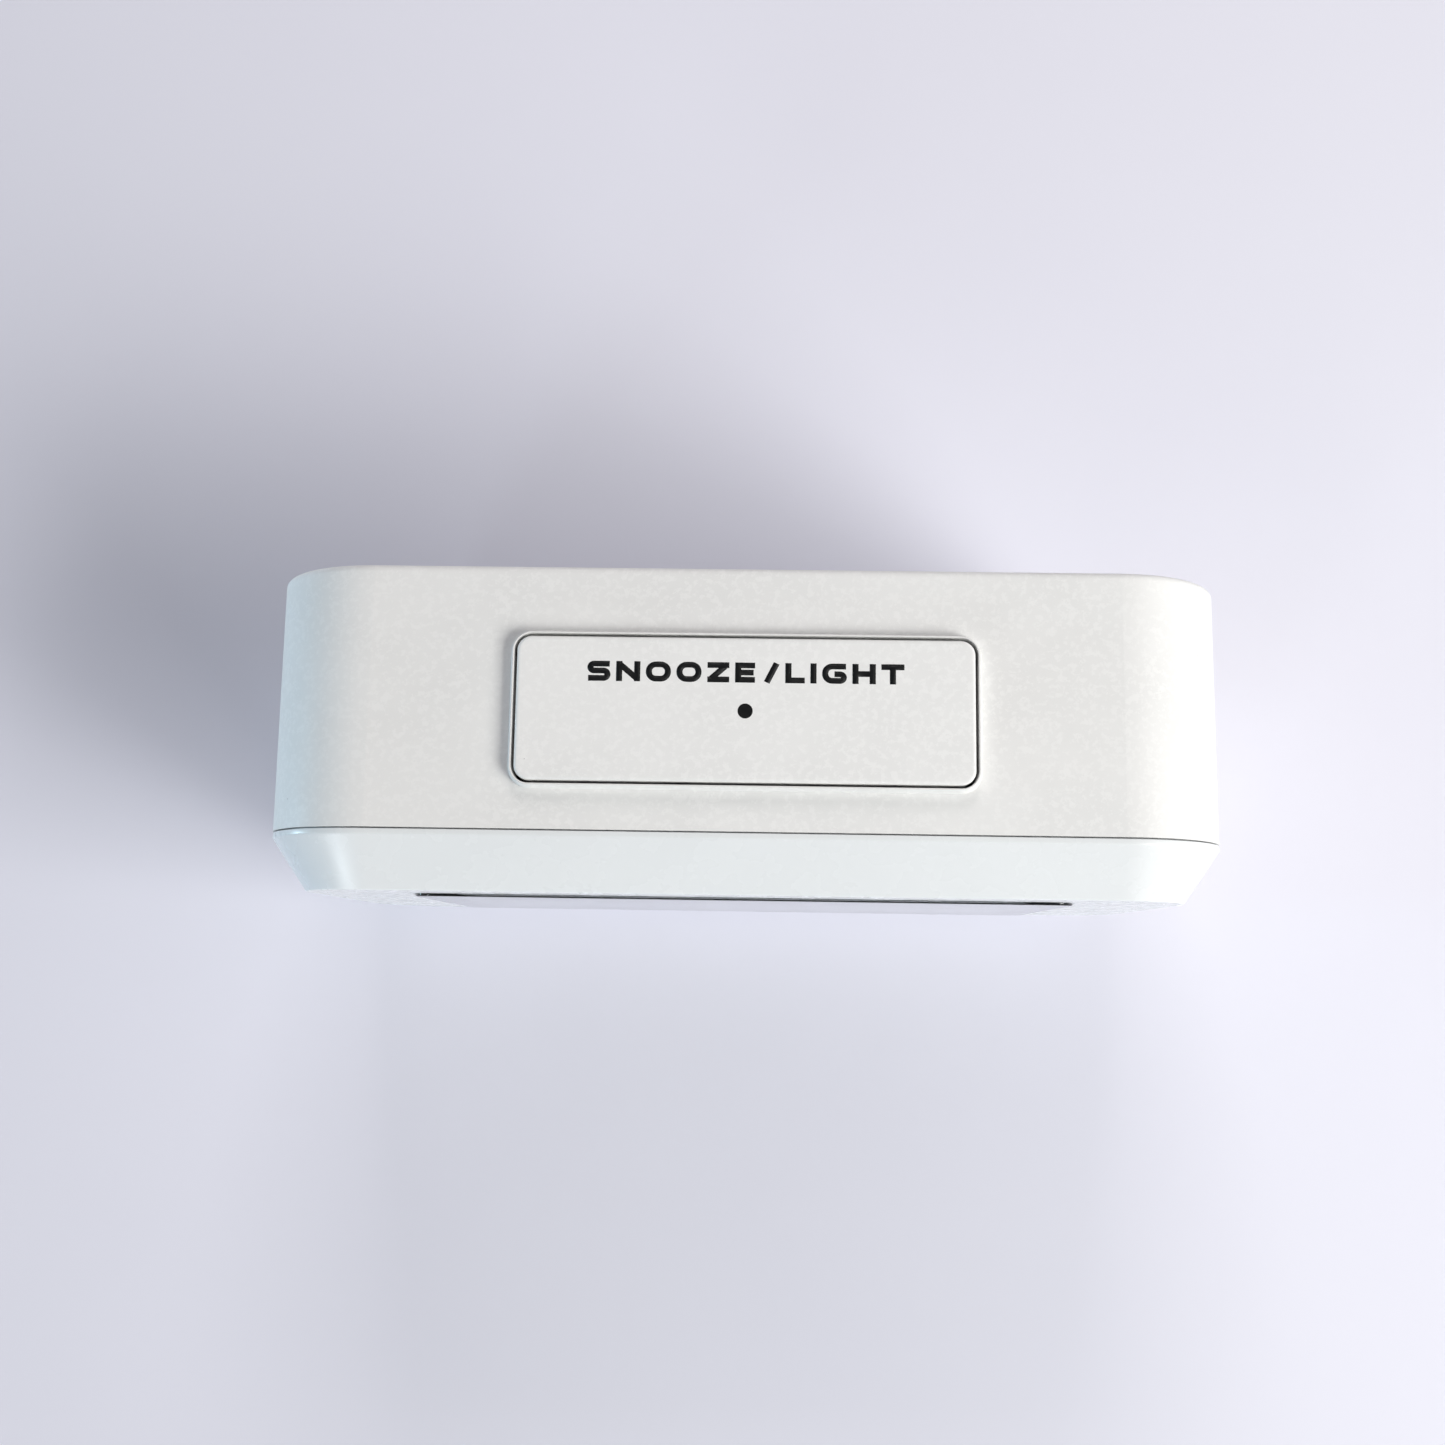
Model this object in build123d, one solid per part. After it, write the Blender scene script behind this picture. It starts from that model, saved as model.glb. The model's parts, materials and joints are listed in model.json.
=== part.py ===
from build123d import *
import os

# Digital desk alarm clock, in millimetres.
# X runs to the right seen from the front, Y to the back and Z up.
# The origin is the middle of the footprint, on the surface that the feet rest on.

# ---- Overall sizes ----
casing_width = 135.0  # across the casing
casing_height = 74.0  # casing alone, without feet or rim
overall_depth = 45.0  # front of the lens to the back face
corner_radius = 16.2  # casing corners, seen from the front
wall = 2.0  # casing and bezel wall
back_wall = 2.4  # back wall of the rear case
back_edge_radius = 1.0  # rounding of the casing's back edge

# ---- Rubber feet ----
foot_radius = 5.0
foot_proud = 1.0  # how far the feet stand out of the casing
foot_recess = 0.6  # how deep they sit in it
foot_inset_x = 23.5  # casing side to a foot's centre
foot_inset_front = 6.0  # seam to a front foot's centre
foot_inset_back = 7.0  # back face to a rear foot's centre
foot_edge = 0.4
foot_clearance = 0.1

# ---- Front bezel ----
lens_proud = 0.4  # lens front ahead of the bezel face
bezel_depth = 8.2  # bezel face to the seam
bezel_rim = 0.8  # straight rim between the chamfer and the seam
chamfer_in = 5.0  # how far the chamfer draws in over its depth
bezel_edge_radius = 0.4
seam_gap = 0.2  # shadow line between bezel and rear case
tongue_length = 1.5  # bezel tongue inside the rear case
tongue_clearance = 0.15

# ---- Display stack, front to back ----
window_border_x = 15.5  # bezel face beside the lens
window_border_z = 8.0  # bezel face above and below the lens
lens_thickness = 1.6
lens_radius = 3.0
lens_clearance = 0.2
lens_edge = 0.3
surround_thickness = 0.3  # printed film behind the lens
surround_border = 1.0  # film edge inside the ledge opening
ledge_thickness = 1.2  # bezel ledge that the film and the glass lie on
ledge_bite_x = 5.5  # ledge over the end of the front glass
ledge_bite_z = 2.9  # ledge over the long edge of the front glass
polariser_thickness = 0.2
polariser_clearance = 0.3
polariser_corner = 0.5
opening_corner = 1.0
glass_thickness = 0.7
glass_drop = 2.1  # lens edge to the front glass edge, up and down
contact_ledge = 3.7  # front glass past the rear glass, up and down
rear_glass_inset = 1.0
light_guide_thickness = 3.0
light_guide_inset = 2.6  # room for the lamps beside the light guide
display_fit = 0.1  # glass, strips and lamps in the holder
holder_corner = 1.5
reflector_thickness = 0.2
holder_depth = 6.4  # frame between the front glass and the board
holder_rim = 0.6  # frame past the front glass, up and down
holder_clearance = 0.3
zebra_width = 1.8
zebra_inset_x = 4.0
lamp_width = 1.4
lamp_length = 3.2
lamp_offset = 9.0  # each lamp's height from the middle

# ---- Boards ----
board_thickness = 1.6
board_screw_offset_z = 18.0
board_post_radius = 2.2
board_post_edge = 2.5  # board edge to its screws
board_edge_z = 9.0  # casing top to the main board's edge
board_gap = 0.5  # main board to the case columns
board_corner = 1.0
screw_core_radius = 1.0
screw_head_radius = 1.9
screw_head_height = 1.3
screw_reach = 4.5  # small screw past its board
screw_clearance = 0.12
thread_clearance = 0.03

# ---- Small parts on the main board ----
blob_radius = 6.0
blob_height = 1.6
blob_rise = 6.0  # above the board's middle
crystal_radius = 1.0
crystal_length = 6.0
crystal_x = 11.0
crystal_rise = 8.0
capacitor_radius = 2.5
capacitor_height = 5.5
capacitor_x = (18.0, 26.0)
capacitor_drop = 12.0
chip_size = (1.6, 0.6, 0.9)
chip_columns = 6
chip_rows = 2
chip_pitch = (4.0, 3.5)
chip_first_x = -12.0
chip_drop = 6.0

# ---- Case screws in deep wells ----
column_inset = 9.5  # casing side to a column's centre
column_radius = 3.5
column_joint_back = 20.7  # back face to the column's meeting plane
well_depth = 17.7  # back face to the screw's seat
well_radius = 3.1
case_screw_radius = 1.45
case_screw_length = 12.0
case_head_radius = 2.8
case_head_height = 2.2

# ---- Snooze bar ----
bar_width = 62.05
bar_front_margin = 6.15  # seam to the opening
bar_back_margin = 9.75  # opening to the back face
bar_gap = 0.4  # bar to the opening, all round
bar_corner = 2.0
bar_edge = 0.45
bar_travel = 1.0
bar_top_thickness = 1.8
bar_skirt = 1.4
bar_skirt_depth = 7.0  # bar top to the skirt's end
bar_above_rim = 0.2
rim_height = 1.5
rim_top = 0.2
rim_slope = 0.4
tab_reach = 1.6  # retaining tabs past the opening
tab_width = 12.0
tab_thickness = 1.5
tab_clearance = 0.1
snooze_board_drop = 11.0  # casing top to the snooze board's top
snooze_board_depth = 12.0
snooze_post_gap = 7.0  # bar's end to a post's centre
snooze_post_radius = 2.6
snooze_board_end = 4.0  # post centre to the board's end
guide_inset = 9.0  # bar's end to a guide pin and its spring
guide_radius = 1.5
guide_above_board = 2.5
spring_coil_radius = 2.5
spring_wire_radius = 0.28
spring_turns = 6

# ---- Tact switches ----
switch_size = 6.0
switch_height = 3.0
plunger_radius = 1.7
plunger_clearance = 0.05
plunger_proud = 1.7  # plunger past its housing at rest
plunger_depth = 1.6  # plunger inside its housing at rest
key_plunger_proud = 0.7  # the same, under a rear key
plunger_foot = 0.6  # bar's post past the plunger, all round
switch_floor = 0.3

# ---- Rear keys and alarm switch ----
key_names = ("mode", "set", "up", "down")
key_pitch = 14.0
key_first_x = -30.0
key_width = 9.0
key_height = 5.0
key_corner = 2.2
key_gap = 0.2
key_flange = 1.0  # retaining flange past the hole
key_flange_thickness = 0.7
key_float = 0.1  # flange to the back wall
key_below_back = 0.2  # key tops below the back face
key_travel = 0.5
key_edge = 0.4
panel_depth = 0.8  # sunk panel round the keys
panel_half_width = 44.0
panel_margin = 6.0  # keys to the panel's upper and lower edge
panel_corner = 3.0
key_board_above_pocket = 2.0
key_board_below_top = 6.0
key_board_half_width = 42.5
key_post_x = 40.0
key_post_radius = 2.0
key_post_edge = 2.6
slider_x = 28.5  # alarm switch knob at rest
slider_width = 5.0
slider_height = 3.6
slider_travel = 3.0
slider_gap = 0.2
slider_flange_x = 6.0
slider_flange_z = 3.4
slider_grooves = 3
slider_groove_pitch = 1.4
slider_groove_size = 0.6
slider_groove_depth = 0.4
slider_corner = 0.5
slider_housing_width = 12.0
slider_housing_height = 5.4
lever_size = 1.6
lever_depth = 1.4

# ---- Battery pocket for two AA cells ----
cell_radius = 7.1
cell_length = 50.5
cell_nub_radius = 2.75
cell_nub_height = 1.0
cell_gap = 1.3  # between the two cells
cell_side_gap = 0.65
cell_front_gap = 0.3
pocket_floor_z = 6.0  # casing underside to the pocket
pocket_wall = 2.0
contact_thickness = 0.4
contact_size = 9.0
contact_spring_radius = 3.6
contact_dimple_radius = 2.4
contact_dimple_height = 0.9
contact_spring_length = 5.3
contact_wire_radius = 0.35
contact_spring_turns = 3
contact_float = 0.02  # spring wire to its plate
tab_tail = 1.5  # solder tab past the pocket's front wall
tab_tail_width = 3.0

# ---- Battery door ----
door_thickness = 2.0
door_gap = 0.25
door_ledge = 1.75
door_seat_gap = 0.1
door_pin_radius = 0.7
door_pin_length = 1.2
door_pin_clearance = 0.05
door_rib_height = 0.5
door_rib_thickness = 1.2
tongue_half_width = 5.5
tongue_slot = 1.0
tongue_height = 7.0
tongue_tip = 1.6
tongue_tip_thickness = 1.2
scoop_half_width = 7.5
scoop_height = 5.0
scoop_depth = 1.5
grip_count = 4
grip_pitch = 1.5
grip_depth = 0.3
grip_width = 14.0
grip_size = 0.7
grip_below_tongue = 2.5
door_rib_place = 0.5  # share of the pocket's half length
door_rib_end = 5.0

# ---- Buzzer ----
buzzer_radius = 9.5
buzzer_plate_thickness = 0.25
ceramic_radius = 6.5
ceramic_thickness = 0.25
gasket_thickness = 0.5
gasket_width = 1.5
buzzer_seat_height = 2.0
buzzer_z = 30.0
slot_count = 5
slot_pitch = 2.8
slot_width = 1.4
slot_field_radius = 7.0

# ---- Leads and ribbons ----
lead_radius = 0.55
ribbon_thickness = 0.4
ribbon_width = 8.0
ribbon_bend = 2.5

# ---- Places that follow from the sizes ----
half_width = casing_width / 2
z_bottom = foot_proud
z_top = z_bottom + casing_height
z_middle = (z_bottom + z_top) / 2
z_rim = z_top + rim_height
z_bar = z_rim + bar_above_rim
y_lens = -overall_depth / 2
y_back = overall_depth / 2
y_face = y_lens + lens_proud
y_seam = y_face + bezel_depth
y_rim = y_seam - bezel_rim
y_case_front = y_seam + seam_gap / 2
y_bezel_back = y_seam - seam_gap / 2
y_inner_back = y_back - back_wall

face_width = casing_width - 2 * chamfer_in
face_height = casing_height - 2 * chamfer_in
lens_width = face_width - 2 * window_border_x
lens_height = face_height - 2 * window_border_z
y_film_front = y_lens + lens_thickness
y_ledge_front = y_film_front + surround_thickness
y_glass_front = y_ledge_front + ledge_thickness
y_glass_middle = y_glass_front + glass_thickness
y_glass_back = y_glass_middle + glass_thickness
y_guide_front = y_glass_back + polariser_thickness
y_guide_back = y_guide_front + light_guide_thickness
y_holder_floor = y_guide_back + reflector_thickness
y_board_front = y_glass_middle + holder_depth
y_board_back = y_board_front + board_thickness

column_x = half_width - column_inset
column_z = casing_height / 2 - column_inset
y_column_joint = y_back - column_joint_back
y_screw_seat = y_back - well_depth

board_half_x = column_x - column_radius - board_gap
board_half_z = casing_height / 2 - board_edge_z
board_screw_x = board_half_x - board_post_edge
glass_half_x = board_screw_x - board_post_radius - holder_clearance
glass_half_z = lens_height / 2 - glass_drop
opening_half_x = glass_half_x - ledge_bite_x
opening_half_z = glass_half_z - ledge_bite_z
rear_glass_half_x = glass_half_x - rear_glass_inset
rear_glass_half_z = glass_half_z - contact_ledge
guide_half_x = glass_half_x - light_guide_inset
holder_half_z = glass_half_z + holder_rim
zebra_z = (glass_half_z + rear_glass_half_z) / 2
zebra_half_x = glass_half_x - zebra_inset_x

y_bar_front = y_seam + bar_front_margin + bar_gap
y_bar_back = y_back - bar_back_margin - bar_gap
y_bar = (y_bar_front + y_bar_back) / 2
bar_depth = y_bar_back - y_bar_front
z_bar_inside = z_bar - bar_top_thickness
z_snooze_board = z_top - snooze_board_drop
z_plunger_top = z_snooze_board + switch_height + plunger_proud
snooze_post_x = bar_width / 2 + snooze_post_gap
guide_x = bar_width / 2 - guide_inset

pocket_depth = 2 * cell_radius + 2 * cell_front_gap + door_rib_height
y_pocket_back = y_back - door_thickness - door_seat_gap
y_pocket_front = y_pocket_back - pocket_depth
y_cell = y_pocket_front + cell_front_gap + cell_radius
z_pocket_low = z_bottom + pocket_floor_z
cell_spacing = 2 * cell_radius + cell_gap
pocket_height = 2 * cell_radius + cell_spacing + 2 * cell_side_gap
z_pocket_high = z_pocket_low + pocket_height
z_cells = (
    z_pocket_low + cell_side_gap + cell_radius,
    z_pocket_low + cell_side_gap + cell_radius + cell_spacing,
)
pocket_length = cell_length + contact_spring_length + contact_dimple_height + 2 * contact_thickness
pocket_half = pocket_length / 2
pocket_outer_half = pocket_half + door_ledge + pocket_wall

y_hinge = y_back - door_thickness / 2
z_hinge = z_pocket_low - door_ledge + door_gap + door_thickness / 2
door_half = pocket_half + door_ledge - door_gap
z_door_top = z_pocket_high + door_ledge - door_gap

z_key_board_low = z_pocket_high + pocket_wall + door_ledge + key_board_above_pocket
z_key_board_high = z_top - wall - key_board_below_top
z_keys = (z_key_board_low + z_key_board_high) / 2
key_board_half_z = (z_key_board_high - z_key_board_low) / 2
y_flange = y_inner_back - key_float - key_flange_thickness
y_switch_top = y_flange - key_plunger_proud
y_key_board_back = y_switch_top - switch_height
y_key_board_front = y_key_board_back - board_thickness

buzzer_x = (pocket_outer_half + half_width - wall) / 2
y_gasket_back = y_inner_back - buzzer_seat_height


# ---- Helpers ----
def facing_front(x, y, z):
    """Plane seen from the front: its X runs right and its Y runs up."""
    return Plane(origin=(x, y, z), x_dir=(1, 0, 0), z_dir=(0, -1, 0))


def rounded(width, height, radius):
    """Rectangle, with round corners if the radius isn't zero."""
    if radius > 0:
        return RectangleRounded(width, height, radius)
    return Rectangle(width, height)


def upright(width, height, radius, y, x=0.0, z=z_middle):
    """Slab that stands upright between two depths."""
    face = facing_front(x, y[1], z) * rounded(width, height, radius)
    return extrude(face, amount=y[1] - y[0])


def lying(width, depth, radius, z, x=0.0, y=0.0):
    """Slab that lies flat between two heights."""
    return extrude(Pos(x, y, z[0]) * rounded(width, depth, radius), amount=z[1] - z[0])


def block(x, y, z):
    """Box between two limits on each axis."""
    size = [high - low for low, high in (x, y, z)]
    middle = [(high + low) / 2 for low, high in (x, y, z)]
    return Pos(*middle) * Box(*size)


def rod_x(radius, x, y, z):
    return Pos((x[0] + x[1]) / 2, y, z) * Rot(0, 90, 0) * Cylinder(radius, x[1] - x[0])


def rod_y(radius, x, y, z):
    return Pos(x, (y[0] + y[1]) / 2, z) * Rot(90, 0, 0) * Cylinder(radius, y[1] - y[0])


def rod_z(radius, x, y, z):
    return Pos(x, y, (z[0] + z[1]) / 2) * Cylinder(radius, z[1] - z[0])


def edges_at(shape, axis, place):
    """Edges that lie in the plane at this place along an axis."""
    return shape.edges().filter_by_position(axis, place - 0.001, place + 0.001)


def corners(x, z):
    """Four points round the middle of the casing, seen from the front."""
    return [(sx * x, z_middle + sz * z) for sx in (-1, 1) for sz in (-1, 1)]


def group(pieces):
    return Compound(children=list(pieces))


def tapered(inset, y):
    """Casing outline at depth y, drawn in along the chamfer and by an inset."""
    share = max(0.0, (y_rim - y) / (y_rim - y_face))
    inward = chamfer_in * share + inset
    outline = rounded(casing_width - 2 * inward, casing_height - 2 * inward, corner_radius - inward)
    return facing_front(0, y, z_middle) * outline


# ---- Casing ----
def bezel_envelope():
    chamfer = loft([tapered(0, y_rim), tapered(0, y_face)])
    rim = upright(casing_width, casing_height, corner_radius, (y_rim, y_bezel_back))
    body = chamfer + rim
    body = fillet(edges_at(body, Axis.Y, y_face), bezel_edge_radius)
    return fillet(edges_at(body, Axis.Y, y_rim), bezel_edge_radius)


def front_bezel():
    envelope = bezel_envelope()
    lens_hole = (lens_width + 2 * lens_clearance, lens_height + 2 * lens_clearance)
    pocket = upright(*lens_hole, lens_radius + lens_clearance, (y_face - 1, y_ledge_front))
    opening = upright(
        2 * opening_half_x, 2 * opening_half_z, opening_corner, (y_face - 1, y_seam)
    )
    hollow = loft([tapered(wall, y_rim), tapered(wall, y_glass_front)])
    hollow += upright(
        casing_width - 2 * wall, casing_height - 2 * wall, corner_radius - wall, (y_rim, y_seam)
    )
    shell = envelope - pocket - opening - hollow

    tongue_out = wall / 2 + tongue_clearance
    tongue_back = y_bezel_back + tongue_length
    outline = (casing_width - 2 * tongue_out, casing_height - 2 * tongue_out)
    tongue = upright(*outline, corner_radius - tongue_out, (y_rim, tongue_back))
    inner = (casing_width - 2 * wall, casing_height - 2 * wall)
    tongue -= upright(*inner, corner_radius - wall, (y_rim - 1, tongue_back + 1))
    shell += tongue

    for x, z in corners(column_x, column_z):
        shell += rod_y(column_radius, x, (y_glass_front, y_bezel_back), z) & envelope
        shell += rod_y(column_radius, x, (y_rim, y_column_joint), z)
    for x, z in corners(board_screw_x, board_screw_offset_z):
        shell += rod_y(board_post_radius, x, (y_glass_front, y_board_front), z)
    for x, z in corners(column_x, column_z):
        core = case_screw_radius + thread_clearance
        screw_end = y_screw_seat - case_screw_length
        shell -= rod_y(core, x, (screw_end - 1, y_column_joint + 1), z)
    for x, z in corners(board_screw_x, board_screw_offset_z):
        core = screw_core_radius + thread_clearance
        shell -= rod_y(core, x, (y_board_front - screw_reach - 0.5, y_board_front + 1), z)
    return shell


def case_shell():
    body = upright(casing_width, casing_height, corner_radius, (y_case_front, y_back))
    body = fillet(edges_at(body, Axis.Y, y_back), back_edge_radius)
    inner = (casing_width - 2 * wall, casing_height - 2 * wall)
    body -= upright(*inner, corner_radius - wall, (y_case_front - 1, y_inner_back))
    half = (casing_width - wall, casing_height - wall)
    rebate = (y_case_front - 1, y_bezel_back + tongue_length + tongue_clearance)
    return body - upright(*half, corner_radius - wall / 2, rebate)


def bar_rim():
    """Raised rim round the snooze bar, with a sloping outside."""
    width = bar_width + 2 * (bar_gap + rim_top)
    depth = bar_depth + 2 * (bar_gap + rim_top)
    corner = bar_corner + bar_gap + rim_top
    foot = rounded(width + 2 * rim_slope, depth + 2 * rim_slope, corner + rim_slope)
    top = rounded(width, depth, corner)
    return loft([Pos(0, y_bar, z_top) * foot, Pos(0, y_bar, z_rim) * top])


def battery_pocket(body):
    outer_x = (-pocket_outer_half, pocket_outer_half)
    outer_y = (y_pocket_front - pocket_wall, y_back - back_wall / 2)
    body += block(outer_x, outer_y, (z_bottom + wall / 2, z_pocket_high + door_ledge + pocket_wall))
    inner_y = (y_pocket_front, y_back + 1)
    body -= block((-pocket_half, pocket_half), inner_y, (z_pocket_low, z_pocket_high))
    seat_half = pocket_half + door_ledge
    seat_z = (z_pocket_low - door_ledge, z_pocket_high + door_ledge)
    body -= block((-seat_half, seat_half), (y_pocket_back, y_back + 1), seat_z)
    scoop_z = (z_pocket_high, seat_z[1] + scoop_height)
    scoop_x = (-scoop_half_width, scoop_half_width)
    body -= block(scoop_x, (y_back - scoop_depth, y_back + 1), scoop_z)
    socket = door_half + door_pin_length + door_seat_gap
    body -= rod_x(door_pin_radius + door_pin_clearance, (-socket, socket), y_hinge, z_hinge)
    for z in z_cells:
        slot_y = (y_pocket_front - pocket_wall - 1, y_pocket_front + 1)
        half = tab_tail_width / 2 + 0.2
        slot_x = (-pocket_half - 0.1, -pocket_half + contact_thickness + 0.1)
        body -= block(slot_x, slot_y, (z - half, z + half))
    return body


def key_places():
    return [key_first_x + index * key_pitch for index in range(len(key_names))]


def key_panel(body):
    height = key_height + 2 * panel_margin
    floor = (y_back - panel_depth, y_back + 1)
    body -= upright(2 * panel_half_width, height, panel_corner, floor, z=z_keys)
    through = (y_inner_back - 1, y_back + 1)
    for x in key_places():
        width = key_width + 2 * key_gap
        tall = key_height + 2 * key_gap
        body -= upright(width, tall, key_corner + key_gap, through, x=x, z=z_keys)
    slot_width_x = slider_width + slider_travel + 2 * slider_gap
    slot_x = slider_x + slider_travel / 2
    slot_size = (slot_width_x, slider_height + 2 * slider_gap)
    body -= upright(*slot_size, slider_corner + slider_gap, through, x=slot_x, z=z_keys)
    for x, z in key_post_places():
        body += rod_y(key_post_radius, x, (y_key_board_back, y_back - panel_depth - 0.5), z)
        core = screw_core_radius + thread_clearance
        body -= rod_y(core, x, (y_key_board_back - 1, y_key_board_back + screw_reach - 1), z)
    return body


def key_post_places():
    offset = key_board_half_z - key_post_edge
    return [(sx * key_post_x, z_keys + sz * offset) for sx in (-1, 1) for sz in (-1, 1)]


def sound_slots(body):
    ring_y = (y_gasket_back, y_inner_back + 0.5)
    body += rod_y(buzzer_radius + 0.5, buzzer_x, ring_y, buzzer_z)
    body -= rod_y(buzzer_radius - gasket_width, buzzer_x, (y_gasket_back - 1, y_inner_back), buzzer_z)
    for index in range(slot_count):
        rise = (index - (slot_count - 1) / 2) * slot_pitch
        length = 2 * (slot_field_radius**2 - rise**2) ** 0.5
        through = (y_inner_back - 1, y_back + 1)
        body -= upright(length, slot_width, slot_width / 2 - 0.01, through, buzzer_x, buzzer_z + rise)
    return body


def rear_case():
    body = case_shell() + bar_rim()
    opening = (bar_width + 2 * bar_gap, bar_depth + 2 * bar_gap)
    body -= lying(*opening, bar_corner + bar_gap, (z_top - wall - 1, z_rim + 1), y=y_bar)
    for x, z in corners(column_x, column_z):
        body += rod_y(column_radius, x, (y_column_joint, y_back - back_wall / 2), z)
    for x, z in corners(column_x, column_z):
        body -= rod_y(well_radius, x, (y_screw_seat, y_back + 1), z)
        shank = case_screw_radius + screw_clearance
        body -= rod_y(shank, x, (y_column_joint - 1, y_screw_seat + 1), z)
    body = battery_pocket(body)
    body = key_panel(body)
    body = sound_slots(body)
    for side in (-1, 1):
        x = side * snooze_post_x
        body += rod_z(snooze_post_radius, x, y_bar, (z_snooze_board, z_top - wall / 2))
        core = screw_core_radius + thread_clearance
        body -= rod_z(core, x, y_bar, (z_snooze_board - 1, z_snooze_board + screw_reach))
    for x, y in foot_places():
        body -= rod_z(foot_radius + foot_clearance, x, y, (z_bottom - 1, z_bottom + foot_recess))
    return body


def foot_places():
    x = half_width - foot_inset_x
    front = y_seam + foot_inset_front
    back = y_back - foot_inset_back
    return [(sx * x, y) for sx in (-1, 1) for y in (front, back)]


def rubber_feet():
    feet = []
    for x, y in foot_places():
        foot = rod_z(foot_radius, x, y, (0, z_bottom + foot_recess))
        feet.append(fillet(edges_at(foot, Axis.Z, 0), foot_edge))
    return group(feet)


def screw_y(x, z, seat, core, length, head, height):
    """Pan-head screw that points forward, with a cross recess in its head."""
    screw = rod_y(core, x, (seat - length, seat), z)
    cap = rod_y(head, x, (seat, seat + height), z)
    cap = fillet(edges_at(cap, Axis.Y, seat + height), height * 0.45)
    reach = head * 0.55
    half = head * 0.13
    depth = (seat + height * 0.4, seat + height + 1)
    cap -= block((x - reach, x + reach), depth, (z - half, z + half))
    cap -= block((x - half, x + half), depth, (z - reach, z + reach))
    return screw + cap


def case_screws():
    size = (case_screw_radius, case_screw_length, case_head_radius, case_head_height)
    return group(screw_y(x, z, y_screw_seat, *size) for x, z in corners(column_x, column_z))


# ---- Display ----
def display_lens():
    lens = upright(lens_width, lens_height, lens_radius, (y_lens, y_film_front))
    return fillet(edges_at(lens, Axis.Y, y_lens), lens_edge)


def display_surround():
    film = upright(lens_width, lens_height, lens_radius, (y_film_front, y_ledge_front))
    width = 2 * (opening_half_x - surround_border)
    height = 2 * (opening_half_z - surround_border)
    return film - upright(width, height, opening_corner, (y_film_front - 1, y_ledge_front + 1))


def front_polariser():
    width = 2 * (opening_half_x - polariser_clearance)
    height = 2 * (opening_half_z - polariser_clearance)
    return upright(width, height, polariser_corner, (y_glass_front - polariser_thickness, y_glass_front))


def lcd_front_glass():
    return upright(2 * glass_half_x, 2 * glass_half_z, 0, (y_glass_front, y_glass_middle))


def lcd_rear_glass():
    size = (2 * rear_glass_half_x, 2 * rear_glass_half_z)
    return upright(*size, 0, (y_glass_middle, y_glass_back))


def rear_polariser():
    size = (2 * guide_half_x, 2 * (rear_glass_half_z - polariser_clearance))
    return upright(*size, polariser_corner, (y_glass_back, y_guide_front))


def light_guide():
    return upright(2 * guide_half_x, 2 * rear_glass_half_z, 0, (y_guide_front, y_guide_back))


def reflector_sheet():
    return upright(2 * guide_half_x, 2 * rear_glass_half_z, 0, (y_guide_back, y_holder_floor))


def lamp_places():
    x = guide_half_x + display_fit + lamp_width / 2
    return [(-x, z_middle + side * lamp_offset) for side in (-1, 1)]


def backlight_lamps():
    lamps = []
    for x, z in lamp_places():
        span_x = (x - lamp_width / 2, x + lamp_width / 2)
        span_z = (z - lamp_length / 2, z + lamp_length / 2)
        lamps.append(block(span_x, (y_guide_front, y_board_front), span_z))
    return group(lamps)


def lcd_holder():
    body = upright(2 * board_half_x, 2 * holder_half_z, holder_corner, (y_glass_middle, y_board_front))
    room_x = 2 * (rear_glass_half_x + display_fit)
    room_z = 2 * (rear_glass_half_z + display_fit)
    body -= upright(room_x, room_z, 0, (y_glass_middle - 1, y_holder_floor))
    through = (y_glass_middle - 1, y_board_front + 1)
    for side in (-1, 1):
        slot = (2 * (zebra_half_x + display_fit), zebra_width + 2 * display_fit)
        body -= upright(*slot, 0, through, z=z_middle + side * zebra_z)
    for x, z in lamp_places():
        window = (lamp_width + 2 * display_fit, lamp_length + 2 * display_fit)
        body -= upright(*window, 0, through, x=x, z=z)
    for x, z in corners(board_screw_x, board_screw_offset_z):
        body -= rod_y(board_post_radius + holder_clearance / 2, x, through, z)
    return body


def zebra_strip(side):
    size = (2 * zebra_half_x, zebra_width)
    return upright(*size, 0, (y_glass_middle, y_board_front), z=z_middle + side * zebra_z)


# ---- Main board ----
def main_board():
    board = upright(2 * board_half_x, 2 * board_half_z, board_corner, (y_board_front, y_board_back))
    for x, z in corners(board_screw_x, board_screw_offset_z):
        hole = screw_core_radius + screw_clearance
        board -= rod_y(hole, x, (y_board_front - 1, y_board_back + 1), z)
    return board


def main_board_screws():
    size = (screw_core_radius, screw_reach + board_thickness, screw_head_radius, screw_head_height)
    places = corners(board_screw_x, board_screw_offset_z)
    return group(screw_y(x, z, y_board_back, *size) for x, z in places)


def controller_blob():
    top = y_board_back + blob_height
    drop = rod_y(blob_radius, 0, (y_board_back, top), z_middle + blob_rise)
    return fillet(edges_at(drop, Axis.Y, top), blob_height * 0.85)


def clock_crystal():
    """Can that lies on the board, with the glue fillet under it."""
    y = y_board_back + crystal_radius + 0.1
    z = z_middle + crystal_rise
    can = rod_x(crystal_radius, (crystal_x, crystal_x + crystal_length), y, z)
    glue_x = (crystal_x + 0.5, crystal_x + crystal_length - 0.5)
    glue_z = (z - crystal_radius * 0.7, z + crystal_radius * 0.7)
    return can + block(glue_x, (y_board_back, y), glue_z)


def board_capacitors():
    cans = []
    top = y_board_back + capacitor_height
    for x in capacitor_x:
        can = rod_y(capacitor_radius, x, (y_board_back, top), z_middle - capacitor_drop)
        cans.append(fillet(edges_at(can, Axis.Y, top), 0.5))
    return group(cans)


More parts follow.
